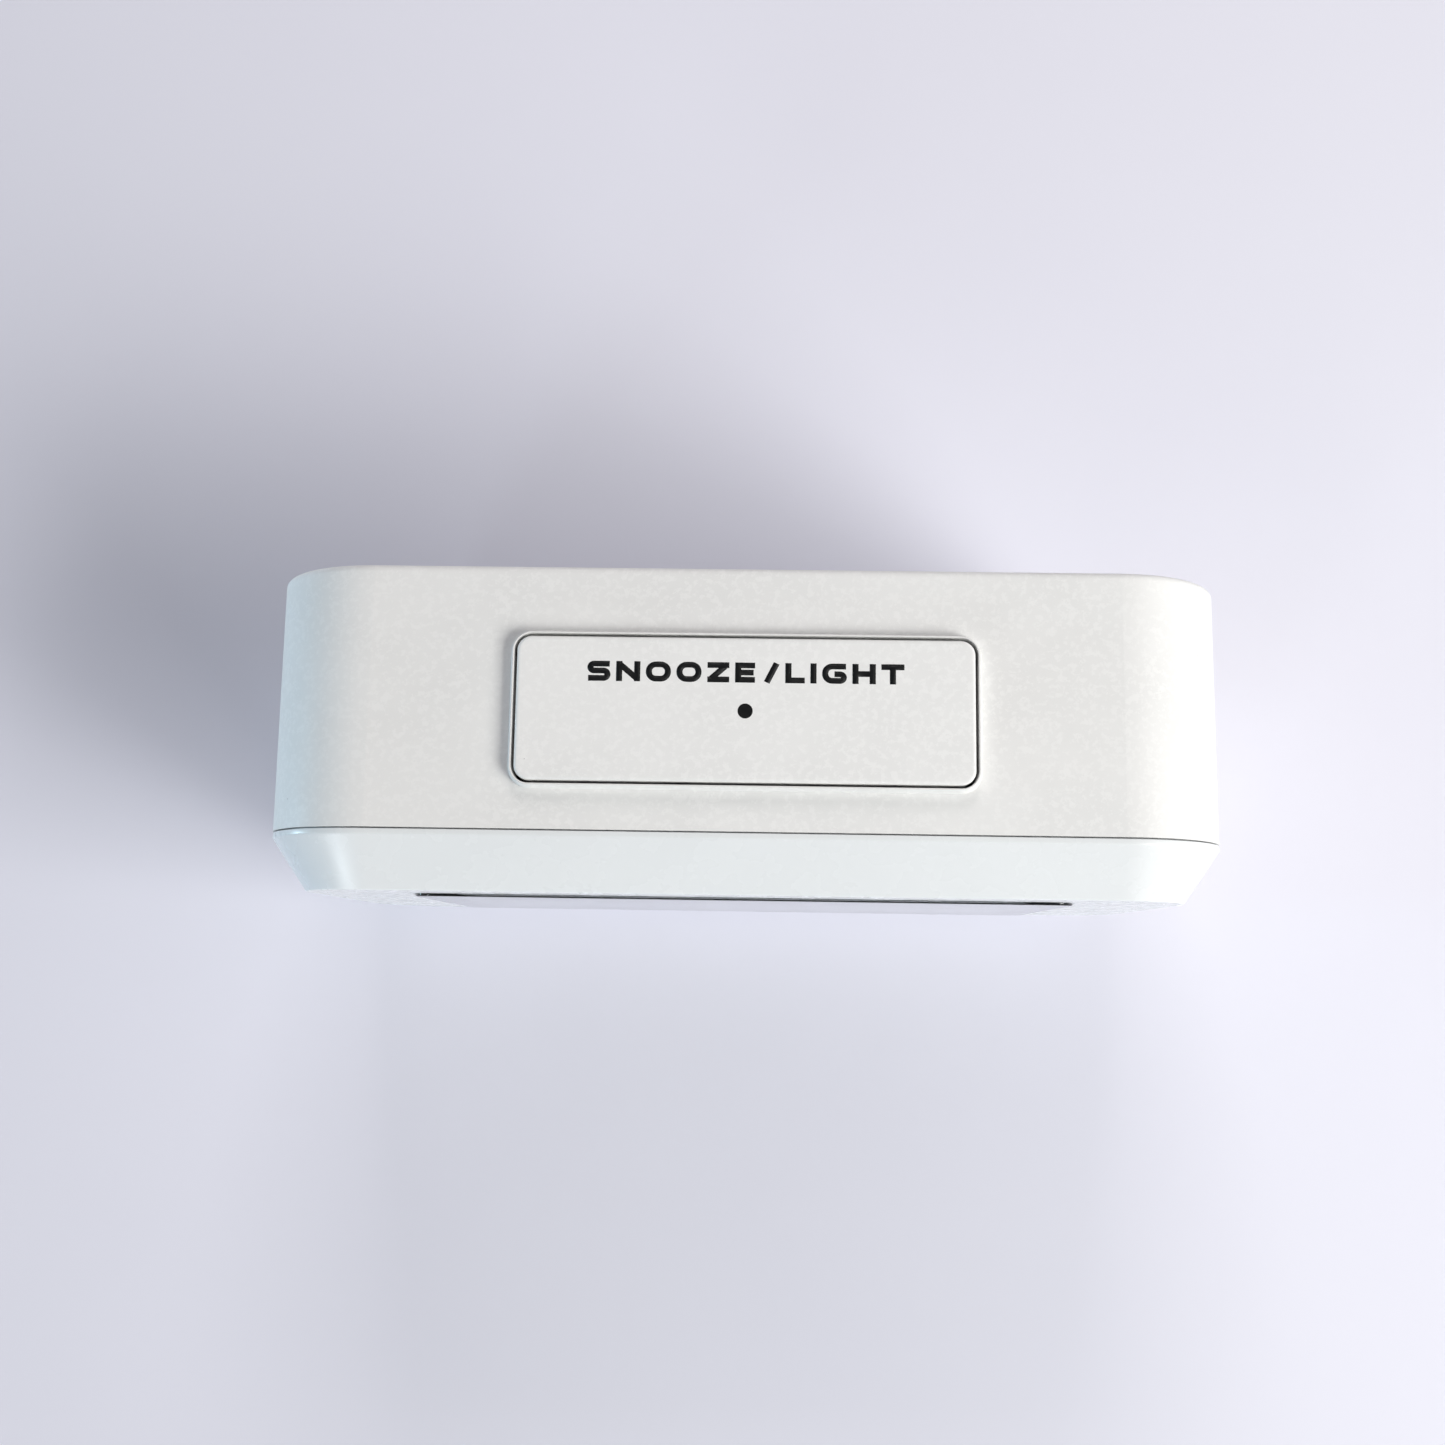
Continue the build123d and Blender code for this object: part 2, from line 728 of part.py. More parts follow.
def chip_components():
    chips = []
    width, height, length = chip_size
    for row in range(chip_rows):
        for column in range(chip_columns):
            x = chip_first_x + column * chip_pitch[0]
            z = z_middle - chip_drop - row * chip_pitch[1]
            chips.append(block((x, x + width), (y_board_back, y_board_back + height), (z, z + length)))
    return group(chips)


# ---- Snooze bar ----
def snooze_bar():
    bar = lying(bar_width, bar_depth, bar_corner, (z_bar - bar_skirt_depth, z_bar), y=y_bar)
    bar = fillet(edges_at(bar, Axis.Z, z_bar), bar_edge)
    inner = (bar_width - 2 * bar_skirt, bar_depth - 2 * bar_skirt)
    hollow = (z_bar - bar_skirt_depth - 1, z_bar_inside)
    bar -= lying(*inner, max(bar_corner - bar_skirt, 0.3), hollow, y=y_bar)
    tab_top = z_top - wall - tab_clearance
    for side in (-1, 1):
        near = bar_width / 2 - bar_skirt / 2
        far = bar_width / 2 + bar_gap + tab_reach
        span = (near, far) if side > 0 else (-far, -near)
        half = min(tab_width / 2, bar_depth / 2 - bar_corner)
        bar += block(span, (y_bar - half, y_bar + half), (tab_top - tab_thickness, tab_top))
        foot = z_snooze_board + guide_above_board
        bar += rod_z(guide_radius, side * guide_x, y_bar, (foot, z_bar_inside + 0.5))
    return bar + rod_z(plunger_radius + plunger_foot, 0, y_bar, (z_plunger_top, z_bar_inside + 0.5))


def snooze_plunger():
    low = z_snooze_board + switch_height - plunger_depth
    return rod_z(plunger_radius, 0, y_bar, (low, z_plunger_top))


def snooze_springs():
    """Two coil springs round the guide pins, from the board to the bar."""
    low = z_snooze_board + spring_wire_radius
    height = z_bar_inside - spring_wire_radius - low - 0.05
    springs = []
    for side in (-1, 1):
        path = Pos(side * guide_x, y_bar, low) * Helix(height / spring_turns, height, spring_coil_radius)
        wire = Plane(path @ 0, z_dir=path % 0) * Circle(spring_wire_radius)
        springs.append(sweep(wire, path=path, is_frenet=True))
    return group(springs)


def snooze_board():
    length = 2 * (snooze_post_x + snooze_board_end)
    level = (z_snooze_board - board_thickness, z_snooze_board)
    board = lying(length, snooze_board_depth, board_corner, level, y=y_bar)
    for side in (-1, 1):
        hole = screw_core_radius + screw_clearance
        board -= rod_z(hole, side * snooze_post_x, y_bar, (level[0] - 1, level[1] + 1))
    return board


def snooze_board_screws():
    size = (screw_core_radius, screw_reach + board_thickness - 0.5, screw_head_radius)
    screw = screw_y(0, 0, 0, *size, screw_head_height)
    seat = z_snooze_board - board_thickness
    upward = Rot(-90, 0, 0) * screw
    return group(Pos(side * snooze_post_x, y_bar, seat) * upward for side in (-1, 1))


def snooze_switch():
    half = switch_size / 2
    span_z = (z_snooze_board, z_snooze_board + switch_height)
    body = block((-half, half), (y_bar - half, y_bar + half), span_z)
    bore = (z_snooze_board + switch_floor, span_z[1] + 1)
    return body - rod_z(plunger_radius + plunger_clearance, 0, y_bar, bore)


# ---- Rear keys ----
def key_board():
    depth = (y_key_board_front, y_key_board_back)
    board = upright(2 * key_board_half_width, 2 * key_board_half_z, board_corner, depth, z=z_keys)
    for x, z in key_post_places():
        hole = screw_core_radius + screw_clearance
        board -= rod_y(hole, x, (depth[0] - 1, depth[1] + 1), z)
    return board


def key_board_screws():
    size = (screw_core_radius, screw_reach - 1.0, screw_head_radius, screw_head_height)
    screw = Rot(0, 0, 180) * screw_y(0, 0, 0, *size)
    return group(Pos(x, y_key_board_front, z) * screw for x, z in key_post_places())


def key_switches():
    half = switch_size / 2
    bodies = []
    for x in key_places():
        span_y = (y_key_board_back, y_switch_top)
        body = block((x - half, x + half), span_y, (z_keys - half, z_keys + half))
        bore = (y_key_board_back + switch_floor, y_switch_top + 1)
        bodies.append(body - rod_y(plunger_radius + plunger_clearance, x, bore, z_keys))
    return group(bodies)


def rear_key(x):
    top = y_back - key_below_back
    cap = upright(key_width, key_height, key_corner, (y_flange, top), x=x, z=z_keys)
    cap = fillet(edges_at(cap, Axis.Y, top), key_edge)
    width = key_width + 2 * key_flange
    height = key_height + 2 * key_flange
    span = (y_flange, y_flange + key_flange_thickness)
    return cap + upright(width, height, key_corner, span, x=x, z=z_keys)


def key_plunger(x):
    return rod_y(plunger_radius, x, (y_switch_top - plunger_depth, y_flange), z_keys)


def alarm_switch_knob():
    top = y_back - key_below_back
    knob = upright(slider_width, slider_height, slider_corner, (y_flange, top), x=slider_x, z=z_keys)
    groove_z = (z_keys - slider_height, z_keys + slider_height)
    for index in range(slider_grooves):
        x = slider_x + (index - (slider_grooves - 1) / 2) * slider_groove_pitch
        groove_x = (x - slider_groove_size / 2, x + slider_groove_size / 2)
        knob -= block(groove_x, (top - slider_groove_depth, top + 1), groove_z)
    span = (y_flange, y_flange + key_flange_thickness)
    size = (2 * slider_flange_x, 2 * slider_flange_z)
    knob += upright(*size, slider_corner, span, x=slider_x, z=z_keys)
    half = lever_size / 2
    lever_y = (y_switch_top - lever_depth, y_flange + 0.1)
    return knob + block((slider_x - half, slider_x + half), lever_y, (z_keys - half, z_keys + half))


def alarm_switch_housing():
    middle = slider_x + slider_travel / 2
    span_y = (y_key_board_back, y_switch_top)
    body = upright(slider_housing_width, slider_housing_height, 0, span_y, x=middle, z=z_keys)
    slot = (lever_size + slider_travel + 0.4, lever_size + 0.3)
    room = (y_switch_top - lever_depth - 0.3, y_switch_top + 1)
    return body - upright(*slot, 0, room, x=middle, z=z_keys)


# ---- Buzzer ----
def buzzer_gasket():
    span = (y_gasket_back - gasket_thickness, y_gasket_back)
    ring = rod_y(buzzer_radius, buzzer_x, span, buzzer_z)
    return ring - rod_y(buzzer_radius - gasket_width, buzzer_x, (span[0] - 1, span[1] + 1), buzzer_z)


def buzzer_plate():
    back = y_gasket_back - gasket_thickness
    return rod_y(buzzer_radius, buzzer_x, (back - buzzer_plate_thickness, back), buzzer_z)


def buzzer_ceramic():
    back = y_gasket_back - gasket_thickness - buzzer_plate_thickness
    return rod_y(ceramic_radius, buzzer_x, (back - ceramic_thickness, back), buzzer_z)


# ---- Batteries and contacts ----
def cell(z, direction):
    """AA cell whose positive end points along X in the given direction."""
    tip = pocket_half - contact_thickness - contact_dimple_height
    can = rod_x(cell_radius, (tip - cell_length, tip - cell_nub_height), y_cell, z)
    can = fillet(can.edges().filter_by(GeomType.CIRCLE), 0.5)
    can += rod_x(cell_nub_radius, (tip - cell_nub_height - 0.5, tip), y_cell, z)
    if direction > 0:
        return can
    return mirror(can, about=Plane.YZ)


def contact_plate(side, z_span):
    near = pocket_half - contact_thickness
    span = (near, pocket_half) if side > 0 else (-pocket_half, -near)
    half = contact_size / 2
    return block(span, (y_cell - half, y_cell + half), z_span)


def solder_tab(z):
    front = y_pocket_front - pocket_wall - tab_tail
    half = tab_tail_width / 2
    span_x = (-pocket_half, -pocket_half + contact_thickness)
    return block(span_x, (front, y_cell - contact_size / 2 + 0.5), (z - half, z + half))


def dimple(side, z):
    near = pocket_half - contact_thickness - contact_dimple_height
    span = (near, pocket_half - 0.1) if side > 0 else (0.1 - pocket_half, -near)
    bump = rod_x(contact_dimple_radius, span, y_cell, z)
    return fillet(edges_at(bump, Axis.X, side * near), 0.6)


def contact_spring(side, z):
    """Coil spring between a contact plate and a cell's flat end."""
    base = pocket_half - contact_thickness - contact_wire_radius - contact_float
    height = contact_spring_length - 2 * (contact_wire_radius + contact_float)
    path = Helix(height / contact_spring_turns, height, contact_spring_radius)
    wire = Plane(path @ 0, z_dir=path % 0) * Circle(contact_wire_radius)
    coil = sweep(wire, path=path, is_frenet=True)
    return Pos(side * base, y_cell, z) * Rot(0, -90 * side, 0) * coil


def half_span(z):
    return (z - contact_size / 2, z + contact_size / 2)


def bridge_contact():
    low, high = z_cells
    plate = contact_plate(1, (half_span(low)[0], half_span(high)[1]))
    return group([plate + dimple(1, low), contact_spring(1, high)])


def positive_contact():
    high = z_cells[1]
    return contact_plate(-1, half_span(high)) + solder_tab(high) + dimple(-1, high)


def negative_contact():
    low = z_cells[0]
    plate = contact_plate(-1, half_span(low)) + solder_tab(low)
    return group([plate, contact_spring(-1, low)])


# ---- Battery door ----
def battery_door():
    inside = y_back - door_thickness
    door = block((-door_half, door_half), (inside, y_back), (z_hinge, z_door_top))
    door += rod_x(door_thickness / 2, (-door_half, door_half), y_hinge, z_hinge)
    pin = door_half + door_pin_length
    door += rod_x(door_pin_radius, (-pin, pin), y_hinge, z_hinge)
    for side in (-1, 1):
        near = tongue_half_width
        far = tongue_half_width + tongue_slot
        span = (near, far) if side > 0 else (-far, -near)
        door -= block(span, (inside - 1, y_back + 1), (z_door_top - tongue_height, z_door_top + 1))
    tip_x = (-tongue_half_width, tongue_half_width)
    tip_y = (y_back - tongue_tip_thickness, y_back)
    door += block(tip_x, tip_y, (z_door_top - 1, z_door_top + tongue_tip))
    for index in range(grip_count):
        z = z_door_top - tongue_height - grip_below_tongue - index * grip_pitch
        grip_z = (z - grip_size / 2, z + grip_size / 2)
        door -= block((-grip_width / 2, grip_width / 2), (y_back - grip_depth, y_back + 1), grip_z)
    rib_x = pocket_half * door_rib_place
    for side in (-1, 1):
        span = (side * rib_x - door_rib_thickness / 2, side * rib_x + door_rib_thickness / 2)
        rib_z = (z_pocket_low + door_rib_end, z_pocket_high - door_rib_end)
        door += block(span, (inside - door_rib_height, inside + 0.1), rib_z)
    return door


# ---- Leads and ribbons ----
def lead(points, radii):
    """Round lead along straight runs joined by tangent arcs."""
    path = FilletPolyline(*points, radius=radii)
    return sweep(Plane(path @ 0, z_dir=path % 0) * Circle(lead_radius), path=path)


def battery_lead(z, reach):
    """Lead from a solder tab to the main board."""
    x = -pocket_half + contact_thickness + lead_radius
    start = y_pocket_front - pocket_wall - tab_tail / 3
    middle = (start + y_board_back) / 2
    points = [(x, start, z), (x, middle + 1.5, z)]
    points += [(x + reach, middle - 1.5, z), (x + reach, y_board_back, z)]
    return lead(points, 1.4)


def buzzer_leads():
    start = y_gasket_back - gasket_thickness - buzzer_plate_thickness - ceramic_thickness
    middle = (start + y_board_back) / 2
    leads = []
    for offset in (-2.0, 2.0):
        z = buzzer_z + offset
        points = [
            (buzzer_x, start, z),
            (buzzer_x, middle + 5, z),
            (buzzer_x - 6, middle - 5, z + 2),
            (buzzer_x - 6, y_board_back, z + 2),
        ]
        leads.append(lead(points, 4.0))
    return group(leads)


def ribbon(points, x):
    """Flat ribbon that bends about the X axis."""
    path = FilletPolyline(*[(x, y, z) for y, z in points], radius=ribbon_bend)
    across = Plane(path @ 0, x_dir=(1, 0, 0), z_dir=path % 0)
    return sweep(across * Rectangle(ribbon_width, ribbon_thickness), path=path)


def key_ribbon():
    start = (y_key_board_front, z_keys - 4)
    drop = 6.0
    middle = (start[0] + y_board_back) / 2
    low = z_keys - 4 - drop
    points = [start, (middle + 5, start[1]), (middle - 3, low), (y_board_back, low)]
    return ribbon(points, -18.0)


def snooze_ribbon():
    under = z_snooze_board - board_thickness
    points = [(y_bar - 3, under), (y_bar - 3, under - 4.5), (y_board_back, under - 4.5)]
    return ribbon(points, 14.0)


# ---- Every piece by name ----
def pieces():
    made = {
        "front_bezel": front_bezel(),
        "display_lens": display_lens(),
        "display_surround": display_surround(),
        "front_polariser": front_polariser(),
        "lcd_front_glass": lcd_front_glass(),
        "lcd_rear_glass": lcd_rear_glass(),
        "rear_polariser": rear_polariser(),
        "light_guide": light_guide(),
        "reflector_sheet": reflector_sheet(),
        "backlight_lamps": backlight_lamps(),
        "lcd_holder": lcd_holder(),
        "upper_zebra_strip": zebra_strip(1),
        "lower_zebra_strip": zebra_strip(-1),
        "main_board": main_board(),
        "main_board_screws": main_board_screws(),
        "controller_blob": controller_blob(),
        "clock_crystal": clock_crystal(),
        "board_capacitors": board_capacitors(),
        "chip_components": chip_components(),
        "rear_case": rear_case(),
        "case_screws": case_screws(),
        "rubber_feet": rubber_feet(),
        "snooze_bar": snooze_bar(),
        "snooze_plunger": snooze_plunger(),
        "snooze_springs": snooze_springs(),
        "snooze_board": snooze_board(),
        "snooze_board_screws": snooze_board_screws(),
        "snooze_switch": snooze_switch(),
        "key_board": key_board(),
        "key_board_screws": key_board_screws(),
        "key_switches": key_switches(),
        "alarm_switch_knob": alarm_switch_knob(),
        "alarm_switch_housing": alarm_switch_housing(),
        "buzzer_gasket": buzzer_gasket(),
        "buzzer_plate": buzzer_plate(),
        "buzzer_ceramic": buzzer_ceramic(),
        "lower_cell": cell(z_cells[0], 1),
        "upper_cell": cell(z_cells[1], -1),
        "bridge_contact": bridge_contact(),
        "positive_contact": positive_contact(),
        "negative_contact": negative_contact(),
        "battery_door": battery_door(),
        "positive_lead": battery_lead(z_cells[1], -3.0),
        "negative_lead": battery_lead(z_cells[0], -3.0),
        "buzzer_leads": buzzer_leads(),
        "key_ribbon": key_ribbon(),
        "snooze_ribbon": snooze_ribbon(),
    }
    for name, x in zip(key_names, key_places()):
        made[name + "_key"] = rear_key(x)
        made[name + "_plunger"] = key_plunger(x)
    return made


os.makedirs("parts", exist_ok=True)
for node, shape in pieces().items():
    export_step(shape, "parts/" + node + ".step")
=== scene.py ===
import json
import math

import bmesh
import bpy
from mathutils import Matrix, Vector


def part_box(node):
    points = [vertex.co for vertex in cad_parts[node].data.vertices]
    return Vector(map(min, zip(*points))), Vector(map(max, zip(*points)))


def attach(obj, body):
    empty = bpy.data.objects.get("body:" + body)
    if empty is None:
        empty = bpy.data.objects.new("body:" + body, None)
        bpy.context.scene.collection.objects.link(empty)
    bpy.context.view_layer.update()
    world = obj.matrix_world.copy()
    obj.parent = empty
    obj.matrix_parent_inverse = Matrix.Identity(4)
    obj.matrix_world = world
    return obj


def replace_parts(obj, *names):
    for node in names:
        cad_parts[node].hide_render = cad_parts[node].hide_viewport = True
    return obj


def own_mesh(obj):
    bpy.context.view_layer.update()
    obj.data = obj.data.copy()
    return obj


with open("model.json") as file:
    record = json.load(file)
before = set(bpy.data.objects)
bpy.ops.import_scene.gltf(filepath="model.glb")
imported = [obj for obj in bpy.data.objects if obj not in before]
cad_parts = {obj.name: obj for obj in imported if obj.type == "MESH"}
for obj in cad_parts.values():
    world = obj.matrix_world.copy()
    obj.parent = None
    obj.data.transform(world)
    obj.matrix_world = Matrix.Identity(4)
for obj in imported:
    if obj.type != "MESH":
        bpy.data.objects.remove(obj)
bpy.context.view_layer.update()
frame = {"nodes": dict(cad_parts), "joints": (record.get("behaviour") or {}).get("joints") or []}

# A digital desk alarm clock: its finishes, its printed marks, its display and its small hardware.
# Lengths are metres. X runs right seen from the front, Y to the back and Z up.

MM = 0.001

# ---- Sizes of the pieces made here ----
legend_height = 2.75 * MM
legend_width = 42.8 * MM
rim_height = 1.5 * MM  # raised rim round the snooze bar
panel_recess = 0.8 * MM  # key panel behind the back face
bezel_depth = 8.2 * MM  # bezel face to the seam
legend_behind_middle = 5.05 * MM
legend_stroke = 0.285  # share of the letter's height
ink_thickness = 0.012 * MM
dot_radius = 1.02 * MM
dot_behind_middle = -0.2 * MM
label_height = 1.5 * MM
label_stretch = 1.1
label_stroke = 0.20
letter_gap = 0.26
drawn_ink = 0.01  # ink's thickness beside a letter one high, before it is scaled
spring_turns = 7
spring_wire = 0.28 * MM
screw_thread_pitch = 0.6 * MM
digit_height = 21.0 * MM
digit_width = 11.4 * MM
digit_stroke = 2.35 * MM
digit_gap = 0.35 * MM
digit_slant = math.tan(math.radians(6))
support_loop = 0.15 * MM  # flat strip kept beside a rounded edge
edge_steps = 5  # faces across a rounded edge


def middle(low, high):
    return (Vector(low) + Vector(high)) / 2


def size(low, high):
    return Vector(high) - Vector(low)


def joint_travel(name):
    return next(joint for joint in frame["joints"] if joint["name"] == name)["range_m"][1]


# ---- Node helpers ----
class Nodes:
    """Short ways to add nodes to a tree and to link them."""

    def __init__(self, tree):
        self.nodes = tree.nodes
        self.links = tree.links

    def add(self, kind, settings=None, **inputs):
        node = self.nodes.new(kind)
        for key, value in (settings or {}).items():
            setattr(node, key, value)
        for key, value in inputs.items():
            self.feed(node.inputs[key.replace("_", " ")], value)
        return node

    def feed(self, socket, value):
        if isinstance(value, bpy.types.NodeSocket):
            self.links.new(value, socket)
        else:
            socket.default_value = value

    def math(self, operation, first, second=0.0):
        node = self.add("ShaderNodeMath", {"operation": operation})
        self.feed(node.inputs[0], first)
        self.feed(node.inputs[1], second)
        return node.outputs[0]

    def times(self, first, second):
        return self.math("MULTIPLY", first, second)


class Finish(Nodes):
    """A material with one glossy surface and short ways to add to it."""

    def __init__(self, name, colour, roughness, **sockets):
        self.material = bpy.data.materials.new(name)
        self.material.use_nodes = True
        super().__init__(self.material.node_tree)
        self.surface = self.nodes["Principled BSDF"]
        self.surface.inputs["Base Color"].default_value = (*colour, 1.0)
        self.surface.inputs["Roughness"].default_value = roughness
        for socket, value in sockets.items():
            self.surface.inputs[socket.replace("_", " ")].default_value = value
        self.place = self.add("ShaderNodeTexCoord").outputs["Object"]
        self.colour = None
        self.bump = None
        self.base = (*colour, 1.0)

    def noise(self, grain, detail=2.0, stretch=(1, 1, 1), rough=0.5):
        """Noise whose patches are about this many metres across."""
        place = self.add("ShaderNodeMapping", None, Vector=self.place, Scale=stretch)
        texture = self.add("ShaderNodeTexNoise", None, Vector=place.outputs[0])
        texture.inputs["Scale"].default_value = 1.0 / grain
        texture.inputs["Detail"].default_value = detail
        texture.inputs["Roughness"].default_value = rough
        return texture.outputs["Fac"]

    def span(self, value, low, high, to_low=0.0, to_high=1.0):
        node = self.add("ShaderNodeMapRange", {"interpolation_type": "SMOOTHSTEP"})
        self.feed(node.inputs["Value"], value)
        limits = ("From Min", low), ("From Max", high), ("To Min", to_low), ("To Max", to_high)
        for socket, number in limits:
            node.inputs[socket].default_value = number
        return node.outputs["Result"]

    def axis(self, name):
        return self.add("ShaderNodeSeparateXYZ", None, Vector=self.place).outputs[name]

    def tint(self, mask, colour):
        """Lays a colour over what the surface has so far, where the mask is bright."""
        mix = self.add("ShaderNodeMix", {"data_type": "RGBA"})
        self.feed(mix.inputs[0], mask)
        self.feed(mix.inputs[6], self.colour or self.base)
        self.feed(mix.inputs[7], (*colour, 1.0))
        self.colour = mix.outputs[2]
        self.links.new(self.colour, self.surface.inputs["Base Color"])

    def blotches(self, colour, grain, detail, low, high, strength):
        """Tints the surface where a noise lies above the low limit, in full above the high one."""
        self.tint(self.span(self.noise(grain, detail), low, high, 0.0, strength), colour)

    def shine(self, value, low, high):
        """Roughness that follows a pattern between two values."""
        self.links.new(self.span(value, 0.3, 0.7, low, high), self.surface.inputs["Roughness"])

    def relief(self, value, depth, strength=1.0, soft_edge=0.0):
        """Bump from a pattern, over edges that look rounded by this radius."""
        bump = self.add("ShaderNodeBump", None, Height=value)
        bump.inputs["Distance"].default_value = depth
        bump.inputs["Strength"].default_value = strength
        if self.bump:
            self.links.new(self.bump, bump.inputs["Normal"])
        elif soft_edge:
            edge = self.add("ShaderNodeBevel", {"samples": 4})
            edge.inputs["Radius"].default_value = soft_edge
            self.links.new(edge.outputs[0], bump.inputs["Normal"])
        self.bump = bump.outputs[0]
        self.links.new(self.bump, self.surface.inputs["Normal"])


def edge_highlight_mask(finish, radius):
    """Painted highlight: a mask that is bright along edges that stand out."""
    soft = finish.add("ShaderNodeBevel", {"samples": 4})
    soft.inputs["Radius"].default_value = radius
    geometry = finish.add("ShaderNodeNewGeometry")
    dot = finish.add("ShaderNodeVectorMath", {"operation": "DOT_PRODUCT"})
    finish.links.new(soft.outputs[0], dot.inputs[0])
    finish.links.new(geometry.outputs["Normal"], dot.inputs[1])
    return finish.span(dot.outputs["Value"], 0.98, 0.80)


# ---- Finishes ----
def moulded_plastic(name, colour, roughness, texture=0.22 * MM, depth=0.006 * MM, dust=0.5,
                    mottling=0.7, soft_edge=0.0):
    """Spark-eroded moulded plastic: fine grain, faint cloudiness, a few specks of dust."""
    finish = Finish(name, colour, roughness, Specular_IOR_Level=0.45)
    cloud = finish.noise(14 * MM, 3.0)
    darker = tuple(0.965 * part for part in colour)
    finish.tint(finish.span(cloud, 0.35, 0.7, 0.0, 0.4 + mottling), darker)
    mottle = finish.noise(0.9 * MM, 4.0, rough=0.7)
    lighter = tuple(min(1.0, 1.045 * part) for part in colour)
    finish.tint(finish.span(mottle, 0.50, 0.58, 0.0, mottling), lighter)
    cells = finish.add("ShaderNodeTexVoronoi", None, Vector=finish.place)
    cells.inputs["Scale"].default_value = 1 / (4.2 * MM)
    near = finish.span(cells.outputs["Distance"], 0.030, 0.018)
    chosen = finish.add("ShaderNodeSeparateColor", None, Color=cells.outputs["Color"])
    rare = finish.span(chosen.outputs[0], 0.88, 0.93, 0.0, dust)
    finish.tint(finish.times(near, rare), (0.30, 0.28, 0.26))
    if soft_edge:
        # painted highlight: edges are drawn lighter than the rest of the surface
        finish.tint(finish.times(edge_highlight_mask(finish, 2 * soft_edge), 0.35), lighter)
    drift = 0.02 + 0.05 * mottling
    finish.shine(finish.noise(5 * MM, 4.0), roughness - drift, roughness + drift)
    finish.relief(finish.noise(texture, 3.0, rough=0.6), depth, 0.5, soft_edge)
    return finish.material


def key_plastic(name, colour):
    """Softer moulded plastic with a painted highlight on its edges."""
    finish = Finish(name, colour, 0.5, Specular_IOR_Level=0.45)
    finish.blotches([0.88 * c for c in colour], 1.4 * MM, 4.0, 0.42, 0.65, 0.5)
    # painted highlight: edges are drawn lighter than the face
    finish.tint(edge_highlight_mask(finish, 0.2 * MM), [min(1.0, 1.35 * c) for c in colour])
    finish.shine(finish.noise(2.5 * MM, 3.0), 0.40, 0.58)
    finish.relief(finish.noise(0.16 * MM, 3.0), 0.006 * MM, 0.6, 0.1 * MM)
    return finish.material


def clear_lens():
    """Polished clear acrylic with faint wiping marks."""
    finish = Finish("clear_lens", (0.95, 0.98, 0.98), 0.01, IOR=1.49, Transmission_Weight=1.0)
    smears = finish.noise(7 * MM, 5.0, stretch=(0.4, 1, 1.6))
    finish.links.new(finish.span(smears, 0.45, 0.8, 0.0, 0.03), finish.surface.inputs["Roughness"])
    return finish.material


def dark_film():
    """Printed film: nearly black, with a very fine screen pattern."""
    finish = Finish("dark_film", (0.014, 0.020, 0.023), 0.32)
    finish.blotches((0.020, 0.028, 0.031), 3 * MM, 4.0, 0.4, 0.7, 0.5)
    finish.shine(finish.noise(1.2 * MM, 3.0), 0.26, 0.38)
    finish.relief(finish.noise(0.12 * MM, 2.0), 0.002 * MM, 0.5)
    return finish.material


def polariser_film(name, colour):
    """Grey-green film, lighter towards the top, with a faint drift of tone and a brushed scatter."""
    finish = Finish(name, colour, 0.42, Specular_IOR_Level=0.35)
    height = finish.axis("Z")
    # lighter towards the top
    finish.tint(finish.span(height, 0.012, 0.064, 0.0, 0.6), [1.1 * c for c in colour])
    finish.blotches([0.92 * c for c in colour], 9 * MM, 3.0, 0.35, 0.7, 0.4)
    scatter = finish.noise(0.3 * MM, 2.0, stretch=(0.25, 1, 1))
    finish.shine(scatter, 0.36, 0.50)
    finish.relief(scatter, 0.002 * MM, 0.4)
    return finish.material


def ink(name, colour, roughness=0.45):
    """Pad-printed ink, slightly uneven where it lies thin."""
    finish = Finish(name, colour, roughness, Specular_IOR_Level=0.25)
    thin = [min(1.0, 1.5 * c + 0.004) for c in colour]
    finish.blotches(thin, 0.35 * MM, 4.0, 0.55, 0.72, 0.5)
    finish.shine(finish.noise(0.5 * MM, 3.0), roughness - 0.08, roughness + 0.1)
    finish.relief(finish.noise(0.14 * MM, 2.0), 0.003 * MM, 0.4)
    return finish.material


def rubber(name, colour):
    finish = Finish(name, colour, 0.82, Specular_IOR_Level=0.3)
    finish.blotches([1.6 * c + 0.01 for c in colour], 1.2 * MM, 5.0, 0.4, 0.7, 0.6)
    finish.shine(finish.noise(0.8 * MM, 3.0), 0.70, 0.92)
    finish.relief(finish.noise(0.2 * MM, 4.0), 0.02 * MM, 0.6)
    return finish.material


def metal(name, colour, roughness, stretch=(1, 1, 1), stain=(0.30, 0.28, 0.26)):
    """Plated or drawn metal with fine lines and a little tarnish."""
    finish = Finish(name, colour, roughness, Metallic=1.0)
    finish.blotches(stain, 1.6 * MM, 5.0, 0.55, 0.8, 0.45)
    lines = finish.noise(0.12 * MM, 3.0, stretch=stretch)
    finish.shine(lines, max(0.05, roughness - 0.08), roughness + 0.14)
    finish.relief(lines, 0.003 * MM, 0.5)
    return finish.material


